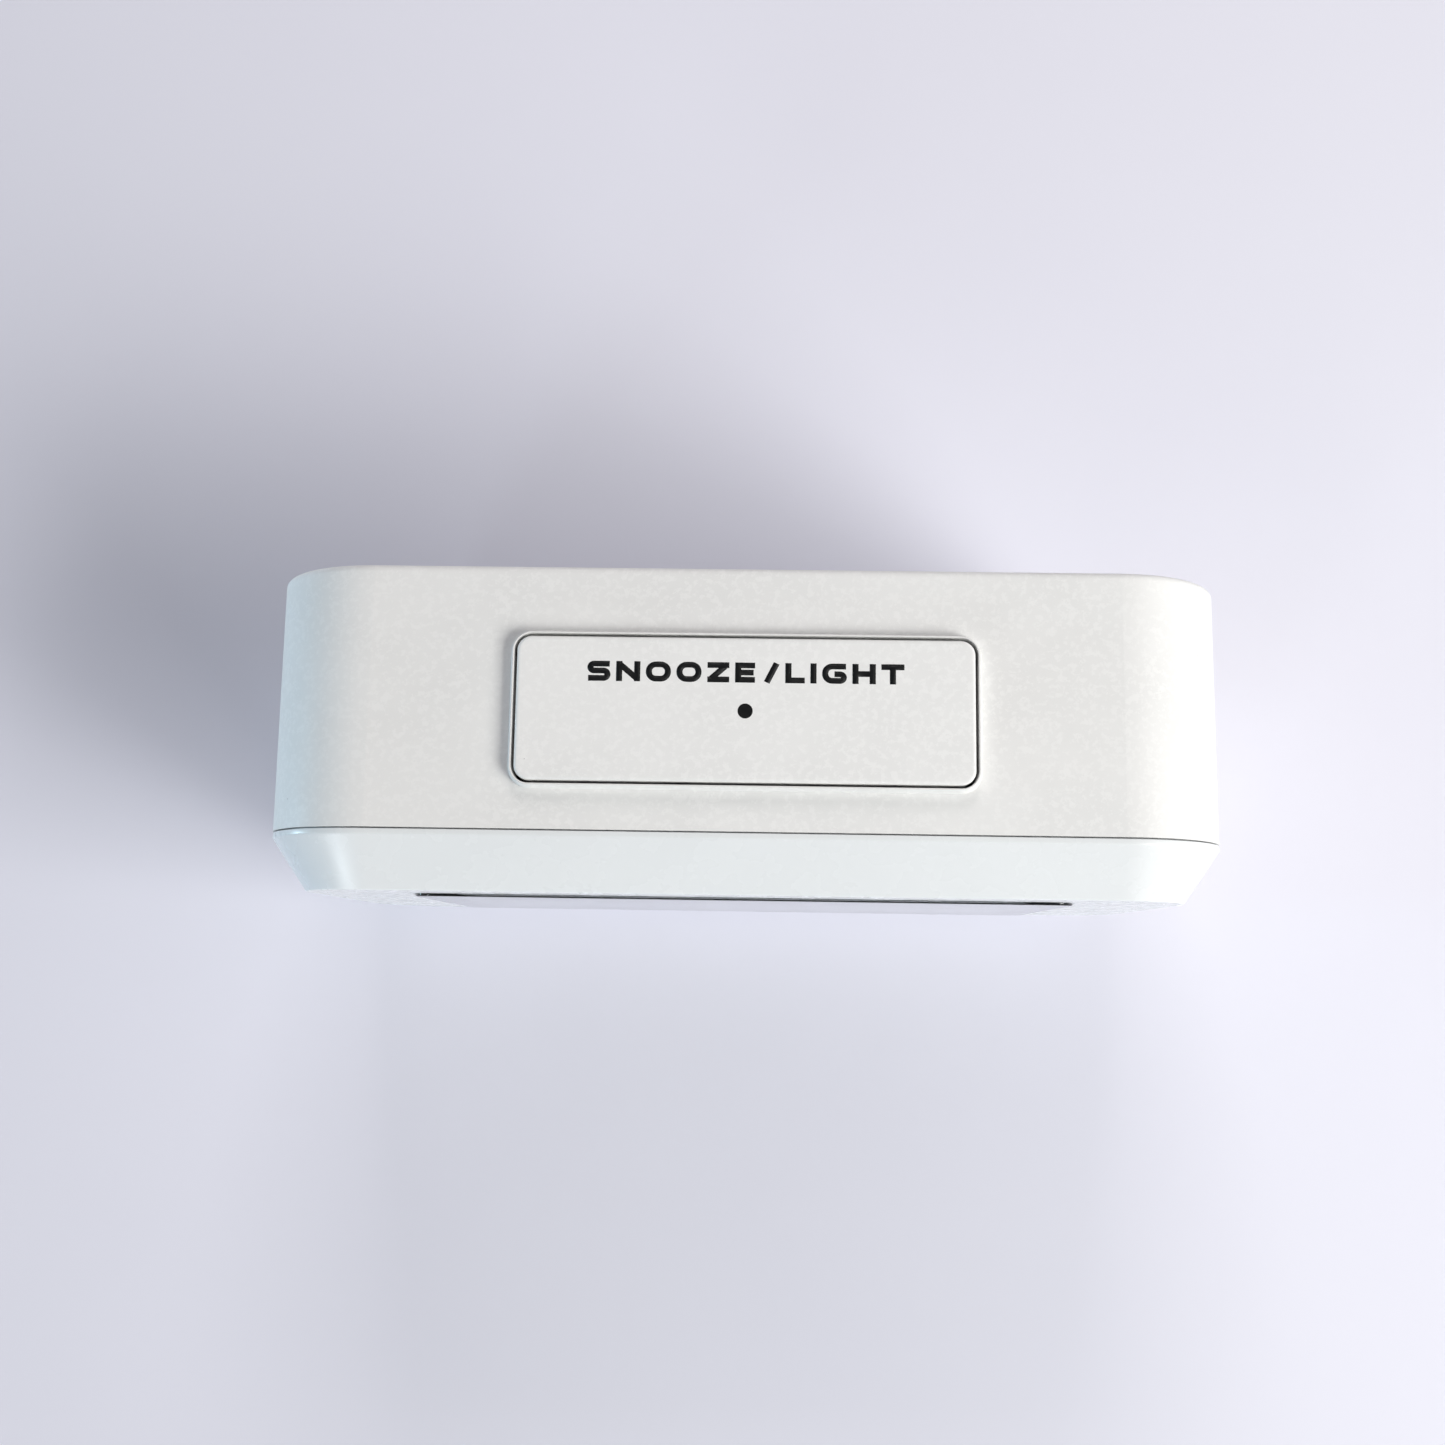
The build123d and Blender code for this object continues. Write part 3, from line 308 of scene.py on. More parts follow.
def circuit_board():
    """Green solder resist over copper tracks, with bare pads."""
    finish = Finish("green_board", (0.012, 0.085, 0.035), 0.30)
    tracks = finish.add("ShaderNodeTexBrick", None, Vector=finish.place)
    tracks.inputs["Scale"].default_value = 1 / (3.4 * MM)
    tracks.inputs["Mortar Size"].default_value = 0.10
    tracks.inputs["Color1"].default_value = (0, 0, 0, 1)
    tracks.inputs["Color2"].default_value = (0, 0, 0, 1)
    tracks.inputs["Mortar"].default_value = (1, 1, 1, 1)
    finish.tint(finish.times(tracks.outputs["Fac"], 0.7), (0.03, 0.19, 0.07))
    pads = finish.add("ShaderNodeTexVoronoi", None, Vector=finish.place)
    pads.inputs["Scale"].default_value = 1 / (5.1 * MM)
    finish.tint(finish.span(pads.outputs["Distance"], 0.13, 0.11), (0.62, 0.60, 0.54))
    finish.shine(finish.noise(2 * MM, 3.0), 0.22, 0.40)
    finish.relief(tracks.outputs["Fac"], 0.02 * MM, 0.5)
    return finish.material


def cell_sleeve(name, positive_right, low, high):
    """Shrink sleeve on an AA cell: slate body, copper shoulder, bare ends."""
    finish = Finish(name, (0.035, 0.055, 0.085), 0.24, Metallic=0.35)
    along = finish.axis("X")
    length = high - low
    shoulder, rim, foot = (high - 0.27 * length, high - 1.4 * MM, low + 0.5 * MM)
    steel = (0.55, 0.55, 0.54)
    copper = (0.62, 0.27, 0.10)
    if not positive_right:
        shoulder, rim, foot = (low + 0.27 * length, low + 1.4 * MM, high - 0.5 * MM)
    step = 0.02 * MM if positive_right else -0.02 * MM
    finish.tint(finish.span(along, shoulder - step, shoulder + step), copper)
    line = shoulder - 40 * step
    band = finish.times(
        finish.span(along, line - 12 * step, line - 11 * step),
        finish.span(along, line + 12 * step, line + 11 * step),
    )
    finish.tint(band, (0.72, 0.70, 0.62))
    finish.tint(finish.span(along, rim - step, rim + step), steel)
    finish.tint(finish.span(along, foot + step, foot - step), steel)
    finish.blotches((0.10, 0.11, 0.12), 6 * MM, 3.0, 0.5, 0.75, 0.2)
    finish.shine(finish.noise(1.5 * MM, 4.0, stretch=(0.2, 1, 1)), 0.18, 0.34)
    finish.relief(finish.noise(2.5 * MM, 2.0, stretch=(0.15, 1, 1)), 0.01 * MM, 0.4)
    return finish.material


def striped(name, colour, line, pitch, axis="X", roughness=0.5):
    """Even stripes across one axis, as on ribbons and contact strips."""
    finish = Finish(name, colour, roughness)
    turns = finish.times(finish.axis(axis), 2 * math.pi / pitch)
    wave = finish.math("SINE", turns)
    finish.tint(finish.span(wave, 0.35, 0.6), line)
    finish.shine(finish.noise(1 * MM, 3.0), roughness - 0.08, roughness + 0.08)
    finish.relief(wave, 0.01 * MM, 0.5)
    return finish.material


def plain(name, colour, roughness, grain=0.8 * MM, depth=0.01 * MM, **sockets):
    """Even material with a soft drift of tone and a fine surface."""
    finish = Finish(name, colour, roughness, **sockets)
    finish.blotches([0.85 * c for c in colour], grain * 4, 4.0, 0.4, 0.7, 0.6)
    finish.shine(finish.noise(grain * 2, 3.0), max(0.04, roughness - 0.08), roughness + 0.08)
    finish.relief(finish.noise(grain, 3.0), depth, 0.5)
    return finish.material


def thin_glass(name, tone):
    finish = Finish(name, tone, 0.03, IOR=1.5, Transmission_Weight=1.0)
    smears = finish.span(finish.noise(4 * MM, 3.0), 0.4, 0.7, 0.02, 0.06)
    finish.links.new(smears, finish.surface.inputs["Roughness"])
    finish.relief(finish.noise(12 * MM, 2.0), 0.002 * MM, 0.3)
    return finish.material


# ---- Geometry Nodes helpers ----
class Plan(Nodes):
    """A geometry node tree with named sizes, which ends in Realize Instances and Set Material."""

    def __init__(self, name, sizes):
        self.group = bpy.data.node_groups.new(name, "GeometryNodeTree")
        super().__init__(self.group)
        face = self.group.interface
        face.new_socket("Geometry", in_out="INPUT", socket_type="NodeSocketGeometry")
        for size_name in sizes:
            face.new_socket(size_name, in_out="INPUT", socket_type="NodeSocketFloat")
        face.new_socket("Geometry", in_out="OUTPUT", socket_type="NodeSocketGeometry")
        self.source = self.nodes.new("NodeGroupInput").outputs
        self.result = self.nodes.new("NodeGroupOutput")

    def vector(self, x=0.0, y=0.0, z=0.0):
        node = self.nodes.new("ShaderNodeCombineXYZ")
        for socket, value in zip(node.inputs, (x, y, z)):
            self.feed(socket, value)
        return node.outputs[0]

    def moved(self, geometry, **inputs):
        return self.add("GeometryNodeTransform", None, Geometry=geometry, **inputs).outputs[0]

    def raised(self, geometry, height):
        return self.moved(geometry, Translation=self.vector(z=height))

    def circle(self, radius, steps):
        path = self.add("GeometryNodeCurvePrimitiveCircle", None, Resolution=steps)
        self.feed(path.inputs["Radius"], radius)
        return path.outputs[0]

    def rod(self, radius, depth, steps):
        """A closed cylinder about the origin."""
        sizes = {"Vertices": steps, "Radius": radius, "Depth": depth}
        return self.add("GeometryNodeMeshCylinder", None, **sizes).outputs[0]

    def joined(self, *geometries):
        join = self.nodes.new("GeometryNodeJoinGeometry")
        for geometry in reversed(geometries):
            self.links.new(geometry, join.inputs[0])
        return join.outputs[0]

    def swept(self, path, profile, caps=True):
        node = self.add("GeometryNodeCurveToMesh", None, Curve=path, Profile_Curve=profile)
        node.inputs["Fill Caps"].default_value = caps
        return node.outputs[0]

    def on_points(self, points, shape):
        node = self.add("GeometryNodeInstanceOnPoints", None, Points=points, Instance=shape)
        return node.outputs[0]

    def finish(self, geometry, material):
        realised = self.add("GeometryNodeRealizeInstances", None, Geometry=geometry).outputs[0]
        painted = self.add("GeometryNodeSetMaterial", None, Geometry=realised, Material=material)
        self.links.new(painted.outputs[0], self.result.inputs[0])
        return self.group


def grown(name, group, start, **sizes):
    """Runs a tree on a start mesh and returns the plain mesh that it makes."""
    holder = bpy.data.objects.new(name + "_start", start)
    bpy.context.scene.collection.objects.link(holder)
    modifier = holder.modifiers.new("grow", "NODES")
    modifier.node_group = group
    for item in group.interface.items_tree:
        if item.in_out == "INPUT" and item.name in sizes:
            modifier[item.identifier] = sizes[item.name]
    seen = holder.evaluated_get(bpy.context.evaluated_depsgraph_get())
    mesh = bpy.data.meshes.new_from_object(seen)
    holder.modifiers.remove(modifier)
    bpy.data.objects.remove(holder)
    return mesh


def points_mesh(name, places, edges=()):
    mesh = bpy.data.meshes.new(name)
    mesh.from_pydata([tuple(place) for place in places], list(edges), [])
    return mesh


def loft_plan(material, extras=None):
    """Skins a stack of rounded rectangles.

    Each point of the start mesh is one level: X is how far it is drawn in from its outline, Y its
    height in the stack and Z the outline that it follows, 0 outer, 1 middle and 2 inner.
    """
    outlines = ("Outer", "Middle", "Inner")
    sizes = [f"{outline} {part}" for outline in outlines for part in ("Width", "Height", "Corner")]
    plan = Plan("rounded_stack", sizes + ["Corner Steps", "Closing Rows"])
    source = plan.source
    stack = source["Geometry"]
    levels = plan.add("GeometryNodeAttributeDomainSize", None, Geometry=stack).outputs[0]
    steps = plan.math("ADD", source["Corner Steps"], 1.0)
    around = plan.math("ADD", plan.times(steps, 4.0), 1.0)
    rows = plan.math("ADD", levels, source["Closing Rows"])
    skin = plan.add("GeometryNodeMeshGrid", None, Vertices_X=rows, Vertices_Y=around).outputs[0]
    index = plan.add("GeometryNodeInputIndex").outputs[0]
    row = plan.math("FLOOR", plan.math("DIVIDE", plan.math("ADD", index, 0.5), around))
    column = plan.math("SUBTRACT", index, plan.times(row, around))
    level = plan.add("GeometryNodeSampleIndex", {"data_type": "FLOAT_VECTOR"}, Geometry=stack)
    plan.feed(level.inputs["Value"], plan.add("GeometryNodeInputPosition").outputs[0])
    plan.feed(level.inputs["Index"], plan.math("MODULO", row, levels))
    parts = plan.add("ShaderNodeSeparateXYZ", None, Vector=level.outputs[0])
    drawn_in, height, follows = parts.outputs
    to_middle = plan.math("MINIMUM", follows, 1.0)
    to_inner = plan.math("MAXIMUM", plan.math("SUBTRACT", follows, 1.0), 0.0)

    def outline(part, share):
        given = [plan.times(source[f"{name} {part}"], share) for name in outlines]
        change = plan.times(plan.math("SUBTRACT", given[1], given[0]), to_middle)
        here = plan.math("ADD", given[0], change)
        change = plan.times(plan.math("SUBTRACT", given[2], here), to_inner)
        left = plan.math("SUBTRACT", plan.math("ADD", here, change), drawn_in)
        return plan.math("MAXIMUM", left, 0.0)

    across, up, corner = outline("Width", 0.5), outline("Height", 0.5), outline("Corner", 1.0)
    corner = plan.math("MINIMUM", corner, plan.math("MINIMUM", across, up))
    quarter = plan.math("FLOOR", plan.math("DIVIDE", plan.math("ADD", column, 0.5), steps))
    share = plan.math("SUBTRACT", column, plan.times(quarter, steps))
    share = plan.math("DIVIDE", share, source["Corner Steps"])
    turn = plan.times(plan.math("ADD", quarter, share), math.pi / 2)
    facing = plan.times(plan.math("ADD", quarter, 0.5), math.pi / 2)

    def place(half, wave):
        side = plan.math("SIGN", plan.math(wave, facing))
        centre = plan.times(side, plan.math("SUBTRACT", half, corner))
        return plan.math("ADD", centre, plan.times(corner, plan.math(wave, turn)))

    spot = plan.vector(place(across, "COSINE"), place(up, "SINE"), height)
    shaped = plan.add("GeometryNodeSetPosition", None, Geometry=skin, Position=spot).outputs[0]
    merged = plan.add("GeometryNodeMergeByDistance", None, Geometry=shaped, Distance=1e-6)
    closed = merged.outputs[0]
    if extras:
        closed = plan.joined(closed, *extras(plan))
    return plan.finish(closed, material)


def section(places, bases=(0.0, 0.0, 0.0), closed=True):
    """Levels for a stack, from corners given as (outline, drawn in, height, edge radius)."""
    spots = [Vector((place[1] + bases[place[0]], place[2])) for place in places]
    levels = []
    count = len(places)
    for index, (outline, drawn_in, height, radius) in enumerate(places):
        spot, ends = spots[index], not closed and index in (0, count - 1)
        if not radius or ends:
            levels.append((drawn_in, height, outline))
            continue
        back = spots[index - 1] - spot
        ahead = spots[(index + 1) % count] - spot
        bend = math.pi - back.angle(ahead)
        reach = radius * math.tan(bend / 2)
        start, end = spot + back.normalized() * reach, spot + ahead.normalized() * reach
        support = min(support_loop, (back.length - reach) * 0.3)
        trace = [start + back.normalized() * support]
        for step in range(edge_steps + 1):
            t = step / edge_steps
            trace.append(start * (1 - t) ** 2 + spot * 2 * t * (1 - t) + end * t**2)
        support = min(support_loop, (ahead.length - reach) * 0.3)
        trace.append(end + ahead.normalized() * support)
        levels += [(at.x - bases[outline], at.y, outline) for at in trace]
    return points_mesh("levels", levels)


def tidied(mesh, weld=0.0):
    """Turns every face of closed solids outwards, once points this near are joined."""
    maker = bmesh.new()
    maker.from_mesh(mesh)
    if weld:
        bmesh.ops.remove_doubles(maker, verts=maker.verts, dist=weld)
    bmesh.ops.dissolve_degenerate(maker, dist=1e-8, edges=maker.edges)
    bmesh.ops.recalc_face_normals(maker, faces=maker.faces)
    maker.to_mesh(mesh)
    maker.free()
    return mesh


def piece(name, mesh, body, smooth_angle=35.0, matrix=None):
    """A finished piece at the origin that rides on a body."""
    mesh.name = name
    if matrix is not None:
        mesh.transform(matrix)
    obj = bpy.data.objects.new(name, mesh)
    bpy.context.scene.collection.objects.link(obj)
    if smooth_angle:
        mesh.shade_smooth()
        mesh.set_sharp_from_angle(angle=math.radians(smooth_angle))
    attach(obj, body)
    return obj


# ---- Lettering: strokes on a grid one letter high ----
LETTERS = {
    "A": (0.84, [[(0, 0), (0, 1), (1, 1), (1, 0)], [(0, 0.42), (1, 0.42)]]),
    "D": (0.84, [[(0, 0), (0, 1), (1, 1), (1, 0), (0, 0)]]),
    "E": (0.78, [[(1, 1), (0, 1)], [(0, 1), (0, 0)], [(0, 0), (1, 0)], [(0, 0.5), (0.92, 0.5)]]),
    "F": (0.74, [[(1, 1), (0, 1)], [(0, 1), (0, 0)], [(0, 0.5), (0.88, 0.5)]]),
    "G": (0.86, [[(1.12, 1), (0, 1), (0, 0), (1, 0), (1, 0.46), (0.5, 0.46)]]),
    "H": (0.80, [[(0, 0), (0, 1)], [(1, 0), (1, 1)], [(0, 0.5), (1, 0.5)]]),
    "I": (0.0, [[(0, 0), (0, 1)]]),
    "L": (0.62, [[(0, 1), (0, 0)], [(0, 0), (1, 0)]]),
    "M": (1.04, [[(0, 0), (0, 1)], [(1, 0), (1, 1)], [(0.04, 1), (0.5, 0.25)],
                 [(0.5, 0.25), (0.96, 1)]]),
    "N": (0.84, [[(0, 0), (0, 1)], [(1, 0), (1, 1)], [(0.06, 0.96), (0.94, 0.04)]]),
    "O": (0.88, [[(0.5, 1), (0, 1), (0, 0), (1, 0), (1, 1), (0.5, 1)]]),
    "P": (0.80, [[(0, 0), (0, 1), (1, 1), (1, 0.45), (0, 0.45)]]),
    "R": (0.82, [[(0, 0), (0, 1), (1, 1), (1, 0.45), (0, 0.45)], [(0.5, 0.45), (0.98, 0)]]),
    "S": (0.80, [[(1.12, 1), (0, 1), (0, 0.52), (1, 0.52), (1, 0), (-0.12, 0)]]),
    "T": (0.78, [[(0, 1), (1, 1)], [(0.5, 1), (0.5, 0)]]),
    "U": (0.84, [[(0, 1), (0, 0), (1, 0), (1, 1)]]),
    "Z": (0.76, [[(0.02, 1), (0.98, 1)], [(0.93, 0.93), (0.07, 0.07)], [(0.02, 0), (0.98, 0)]]),
    "/": (0.46, [[(0, -0.17), (1, 1.17)]]),
}


def stroke_plan(material):
    """Turns pen strokes into flat ribbons of ink with round bends."""
    plan = Plan("pen_strokes", ["Stroke", "Ink", "Bend"])
    strokes = plan.add("GeometryNodeMeshToCurve", None, Mesh=plan.source["Geometry"]).outputs[0]
    bent = plan.add("GeometryNodeFilletCurve", None, Curve=strokes, Radius=plan.source["Bend"])
    if hasattr(bent, "mode"):
        bent.mode = "POLY"
    bent.inputs["Count"].default_value = 7
    bent.inputs["Limit Radius"].default_value = True
    nib = plan.add("GeometryNodeCurvePrimitiveQuadrilateral")
    plan.feed(nib.inputs["Width"], plan.source["Stroke"])
    plan.feed(nib.inputs["Height"], plan.source["Ink"])
    ribbons = plan.swept(bent.outputs[0], nib.outputs[0])
    union = plan.add("GeometryNodeMeshBoolean", {"operation": "UNION", "solver": "EXACT"})
    union.inputs["Self Intersection"].default_value = True
    plan.links.new(ribbons, union.inputs[1])
    return plan.finish(union.outputs[0], material)


def letter_strokes(text, stroke, gap):
    """Centre lines of a word's strokes, one letter high, and the word's whole width."""
    places, edges, pen = [], [], 0.0
    for letter in text:
        if letter == " ":
            pen += 0.6
            continue
        width, strokes = LETTERS[letter]
        for line in strokes:
            ends_square = len(line) == 2
            for index, (across, up) in enumerate(line):
                x = pen + stroke / 2 + across * width
                y = stroke / 2 + up * (1 - stroke)
                places.append(Vector((x, y, 0)))
                if index:
                    edges.append((len(places) - 2, len(places) - 1))
            if ends_square:
                first, last = places[-2], places[-1]
                way = (last - first).normalized() * stroke / 2
                flat = abs(way.x) < 1e-6 or abs(way.y) < 1e-6
                if flat:
                    first -= way * (1 if letter not in "EFH" or way.x == 0 else 0)
                    last += way * (1 if way.x == 0 or letter in "LTZ" else 0)
        pen += width + stroke + gap
    return places, edges, pen - gap


def word(name, text, height, stretch, centre, body, group, stroke, turn=None, fit=None):
    """A printed word, centred on a point of a flat face."""
    places, edges, width = letter_strokes(text, stroke, letter_gap)
    start = points_mesh(name, places, edges)
    mesh = grown(name, group, start, Stroke=stroke, Ink=drawn_ink, Bend=stroke * 1.15)
    mesh = tidied(mesh, 1e-4)
    across = fit / width if fit else height * stretch
    scale = Matrix.Diagonal((across, height, ink_thickness / drawn_ink, 1.0))
    centring = Matrix.Translation((-width / 2, -0.5, 0))
    place = Matrix.Translation(centre) @ (turn or Matrix.Identity(4)) @ scale @ centring
    return piece(name, mesh, body, 0, place)


def disc_mesh(radius, thickness, steps=48):
    maker = bmesh.new()
    bmesh.ops.create_cone(
        maker, cap_ends=True, segments=steps, radius1=radius, radius2=radius, depth=thickness
    )
    mesh = bpy.data.meshes.new("disc")
    maker.to_mesh(mesh)
    maker.free()
    return mesh


def printed_bar_marks(black):
    """Function lettering and the round dot on the snooze bar."""
    low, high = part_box("snooze_bar")
    top = high[2] - ink_thickness / 2
    behind = (low[1] + high[1]) / 2
    place = (0, behind + legend_behind_middle, top)
    strokes = stroke_plan(black)
    word("bar_lettering", "SNOOZE/LIGHT", legend_height, 1.0, place, "snooze_bar",
         strokes, legend_stroke, fit=legend_width)
    dot = disc_mesh(dot_radius, ink_thickness)
    dot.materials.append(black)
    spot = Matrix.Translation((0, behind + dot_behind_middle, top))
    piece("bar_dot", dot, "snooze_bar", 0, spot)
    return strokes


# ---- Back marks ----
def polygon_mesh(name, outlines, thickness, material):
    """Flat shapes, each a closed outline in the XZ plane, made thin solids that face the back."""
    maker = bmesh.new()
    for outline in outlines:
        front = [maker.verts.new((x, 0.0, z)) for x, z in outline]
        back = [maker.verts.new((x, thickness, z)) for x, z in outline]
        maker.faces.new(front)
        maker.faces.new(list(reversed(back)))
        count = len(outline)
        for index in range(count):
            after = (index + 1) % count
            maker.faces.new((front[after], front[index], back[index], back[after]))
    bmesh.ops.recalc_face_normals(maker, faces=maker.faces)
    mesh = bpy.data.meshes.new(name)
    maker.to_mesh(mesh)
    maker.free()
    mesh.materials.append(material)
    return mesh


def back_marks(strokes, grey):
    """Small printed labels above the rear keys and the alarm switch, and the door's arrow."""
    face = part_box("rear_case")[1][1]
    panel = face - panel_recess + ink_thickness / 2
    turn = Matrix.Rotation(math.pi, 4, "Z") @ Matrix.Rotation(math.pi / 2, 4, "X")
    above = 5.2 * MM

    def label(name, text, x, z, height=label_height, stretch=label_stretch):
        word(name, text, height, stretch, (x, panel, z), "case", strokes,
             label_stroke, turn=turn)

    for key, text in (("mode_key", "MODE"), ("set_key", "SET")):
        spot = middle(*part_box(key))
        label(key + "_label", text, spot.x, spot.z + above)
    knob = middle(*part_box("alarm_switch_knob"))
    travel = joint_travel("alarm_slide")
    label("alarm_label", "ALARM", knob.x + travel / 2, knob.z + above)
    aside, below = 1.6 * MM, above - 0.6 * MM
    for text, x in (("OFF", knob.x - aside), ("ON", knob.x + travel + aside)):
        label("alarm_" + text.lower() + "_label", text, x, knob.z - below, 1.1 * MM, 0.95)
    arrows = []
    half, foot, tip = 1.1 * MM, 0.7 * MM, 0.8 * MM
    for key, up in (("up_key", 1), ("down_key", -1)):
        spot = middle(*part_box(key))
        x, z = spot.x, spot.z + above
        arrows.append([(x - half, z - up * foot), (x + half, z - up * foot), (x, z + up * tip)])
    mesh = polygon_mesh("key_arrows", arrows, ink_thickness, grey)
    piece("key_arrows", mesh, "case", 0, Matrix.Translation((0, panel, 0)))
    low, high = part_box("battery_door")
    z = low[2] + 0.42 * (high[2] - low[2])
    half, rise = 3.2 * MM, 2.4 * MM
    arrow = [[(-half, z + rise), (half, z + rise), (0, z - rise)]]
    mesh = polygon_mesh("door_arrow", arrow, ink_thickness, grey)
    sunk = Matrix.Translation((0, face + 0.001 * MM - ink_thickness, 0))
    piece("door_arrow", mesh, "battery_door", 0, sunk)


# ---- Casing front and snooze bar ----
def tubes_on(plan, radius, bore, length, places):
    """Tubes that stand on a few points, for screws to bite into."""
    wall = plan.add("GeometryNodeCurvePrimitiveQuadrilateral")
    plan.feed(wall.inputs["Width"], radius - bore)
    plan.feed(wall.inputs["Height"], length)
    tube = plan.swept(plan.circle((radius + bore) / 2, 40), wall.outputs[0])
    tube = plan.moved(tube, Translation=(0, 0, length / 2))
    return [plan.moved(tube, Translation=place) for place in places]


def front_bezel(material):
    """Chamfered ring round the display, with its ledge, its tongue and its screw tubes."""
    low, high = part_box("front_bezel")
    lens = size(*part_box("display_lens"))
    window = size(*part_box("front_polariser"))
    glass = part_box("lcd_front_glass")[0][1]
    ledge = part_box("display_surround")[1][1]
    holder_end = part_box("lcd_holder")[1][0]
    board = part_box("main_board")[0][1]
    casing, centre = size(low, high), middle(low, high)
    clearance, gap, tongue = 0.2 * MM, 0.1 * MM, 1.5 * MM
    rim, chamfer, wall = 0.8 * MM, 5.0 * MM, 2.0 * MM
    window_gap, tongue_clearance = 0.3 * MM, 0.15 * MM
    casing_corner, lens_corner, window_corner = 16.2 * MM, 3.2 * MM, 0.7 * MM
    face = low[1]
    # the screw tubes reach behind the tongue
    seam = face + bezel_depth - gap
    edge = seam + gap - rim
    behind = seam + tongue
    bases = (0.0, (casing.x - lens.x) / 2 - clearance, (casing.x - window.x) / 2)
    taper = chamfer * (edge - glass) / (edge - face)
    inside = wall / 2 + tongue_clearance

    def level(outline, drawn_in, y, radius=0.0):
        return outline, drawn_in, -y, radius

    places = [
        level(0, 0.0, seam, 0.10 * MM),
        level(0, 0.0, edge, 0.6 * MM),
        level(0, chamfer, face, 0.45 * MM),
        level(1, 0.0, face, 0.18 * MM),
        level(1, 0.0, ledge),
        level(2, -window_gap, ledge, 0.08 * MM),
        level(2, -window_gap, glass),
        level(0, wall + taper, glass),
        level(0, wall, edge),
        level(0, wall, behind),
        level(0, inside, behind, 0.08 * MM),
        level(0, inside, seam),
    ]
    from_side = 9.5 * MM
    column = Vector((casing.x / 2 - from_side, casing.z / 2 - from_side))
    post = Vector((holder_end - 2.5 * MM, 18.0 * MM))
    joint = high[1]

    def tubes(plan):
        signs = [(sx, sz) for sx in (-1, 1) for sz in (-1, 1)]
        columns = [(sx * column.x, sz * column.y, -joint) for sx, sz in signs]
        posts = [(sx * post.x, sz * post.y, -board) for sx, sz in signs]
        return (tubes_on(plan, 3.5 * MM, 1.48 * MM, joint - edge, columns)
                + tubes_on(plan, 2.2 * MM, 1.03 * MM, board - glass, posts))

    mesh = grown("front_bezel_fine", loft_plan(material, tubes), section(places, bases), **{
        "Outer Width": casing.x, "Outer Height": casing.z, "Outer Corner": casing_corner,
        "Middle Width": lens.x + 2 * clearance, "Middle Height": lens.z + 2 * clearance,
        "Middle Corner": lens_corner,
        "Inner Width": window.x, "Inner Height": window.z, "Inner Corner": window_corner,
        "Corner Steps": 18.0, "Closing Rows": 1.0,
    })
    upright = Matrix.Translation((centre.x, 0, centre.z)) @ Matrix.Rotation(math.pi / 2, 4, "X")
    ring = piece("front_bezel_fine", tidied(mesh), "case", 30.0, upright)
    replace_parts(ring, "front_bezel")


def snooze_bar(material):
    """Pad with a softened edge and a hollow underside, on two guide pins and a middle post."""
    low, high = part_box("snooze_bar")
    travel_gap, tab, tab_depth, tab_thickness = 0.4 * MM, 1.6 * MM, 12.0 * MM, 1.5 * MM
    width = high[0] - low[0] - 2 * (travel_gap + tab)
    depth = high[1] - low[1]
    centre = middle(low, high)
    skirt, top, side = 7.0 * MM, 1.8 * MM, 1.4 * MM
    pole = width / 2
    crown = high[2] - ink_thickness
    places = [
        (0, pole, crown, 0.0),
        (0, 0.0, crown, 0.5 * MM),
        (0, 0.0, high[2] - skirt, 0.15 * MM),
        (0, side, high[2] - skirt, 0.15 * MM),
        (0, side, high[2] - top, 0.3 * MM),
        (0, pole, high[2] - top, 0.0),
    ]
    pin_x, pin, post = width / 2 - 9.0 * MM, 1.5 * MM, 2.3 * MM
    pin_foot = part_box("snooze_board")[1][2] + 2.5 * MM
    post_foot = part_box("snooze_plunger")[1][2]
    root = high[2] - top + 0.5 * MM
    tab_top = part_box("rear_case")[1][2] - rim_height - 2.1 * MM

    def under(plan):
        shapes = []
        legs = (-pin_x, pin, pin_foot), (pin_x, pin, pin_foot), (0.0, post, post_foot)
        for x, radius, foot in legs:
            height = root - foot
            rod = plan.rod(radius, height, 40)
            shapes.append(plan.moved(rod, Translation=(x, 0, foot + height / 2)))
        for way in (-1, 1):
            reach = tab + travel_gap + side / 2
            plate = plan.add("GeometryNodeMeshCube", None, Size=(reach, tab_depth, tab_thickness))
            spot = (way * (width / 2 - side / 2 + reach / 2), 0, tab_top - tab_thickness / 2)
            shapes.append(plan.moved(plate.outputs[0], Translation=spot))
        return shapes

    mesh = grown("snooze_bar_fine", loft_plan(material, under), section(places, closed=False), **{
        "Outer Width": width, "Outer Height": depth, "Outer Corner": 2.0 * MM,
        "Corner Steps": 10.0, "Closing Rows": 0.0,
    })
    place = Matrix.Translation((centre.x, centre.y, 0))
    bar = piece("snooze_bar_fine", tidied(mesh), "snooze_bar", 30.0, place)
    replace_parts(bar, "snooze_bar")


# ---- Display ----
SEGMENTS = {
    "0": "abcdef", "1": "bc", "2": "abged", "3": "abgcd", "4": "fgbc",
    "5": "afgcd", "6": "afgedc", "7": "abc", "8": "abcdefg", "9": "abcdfg",
}


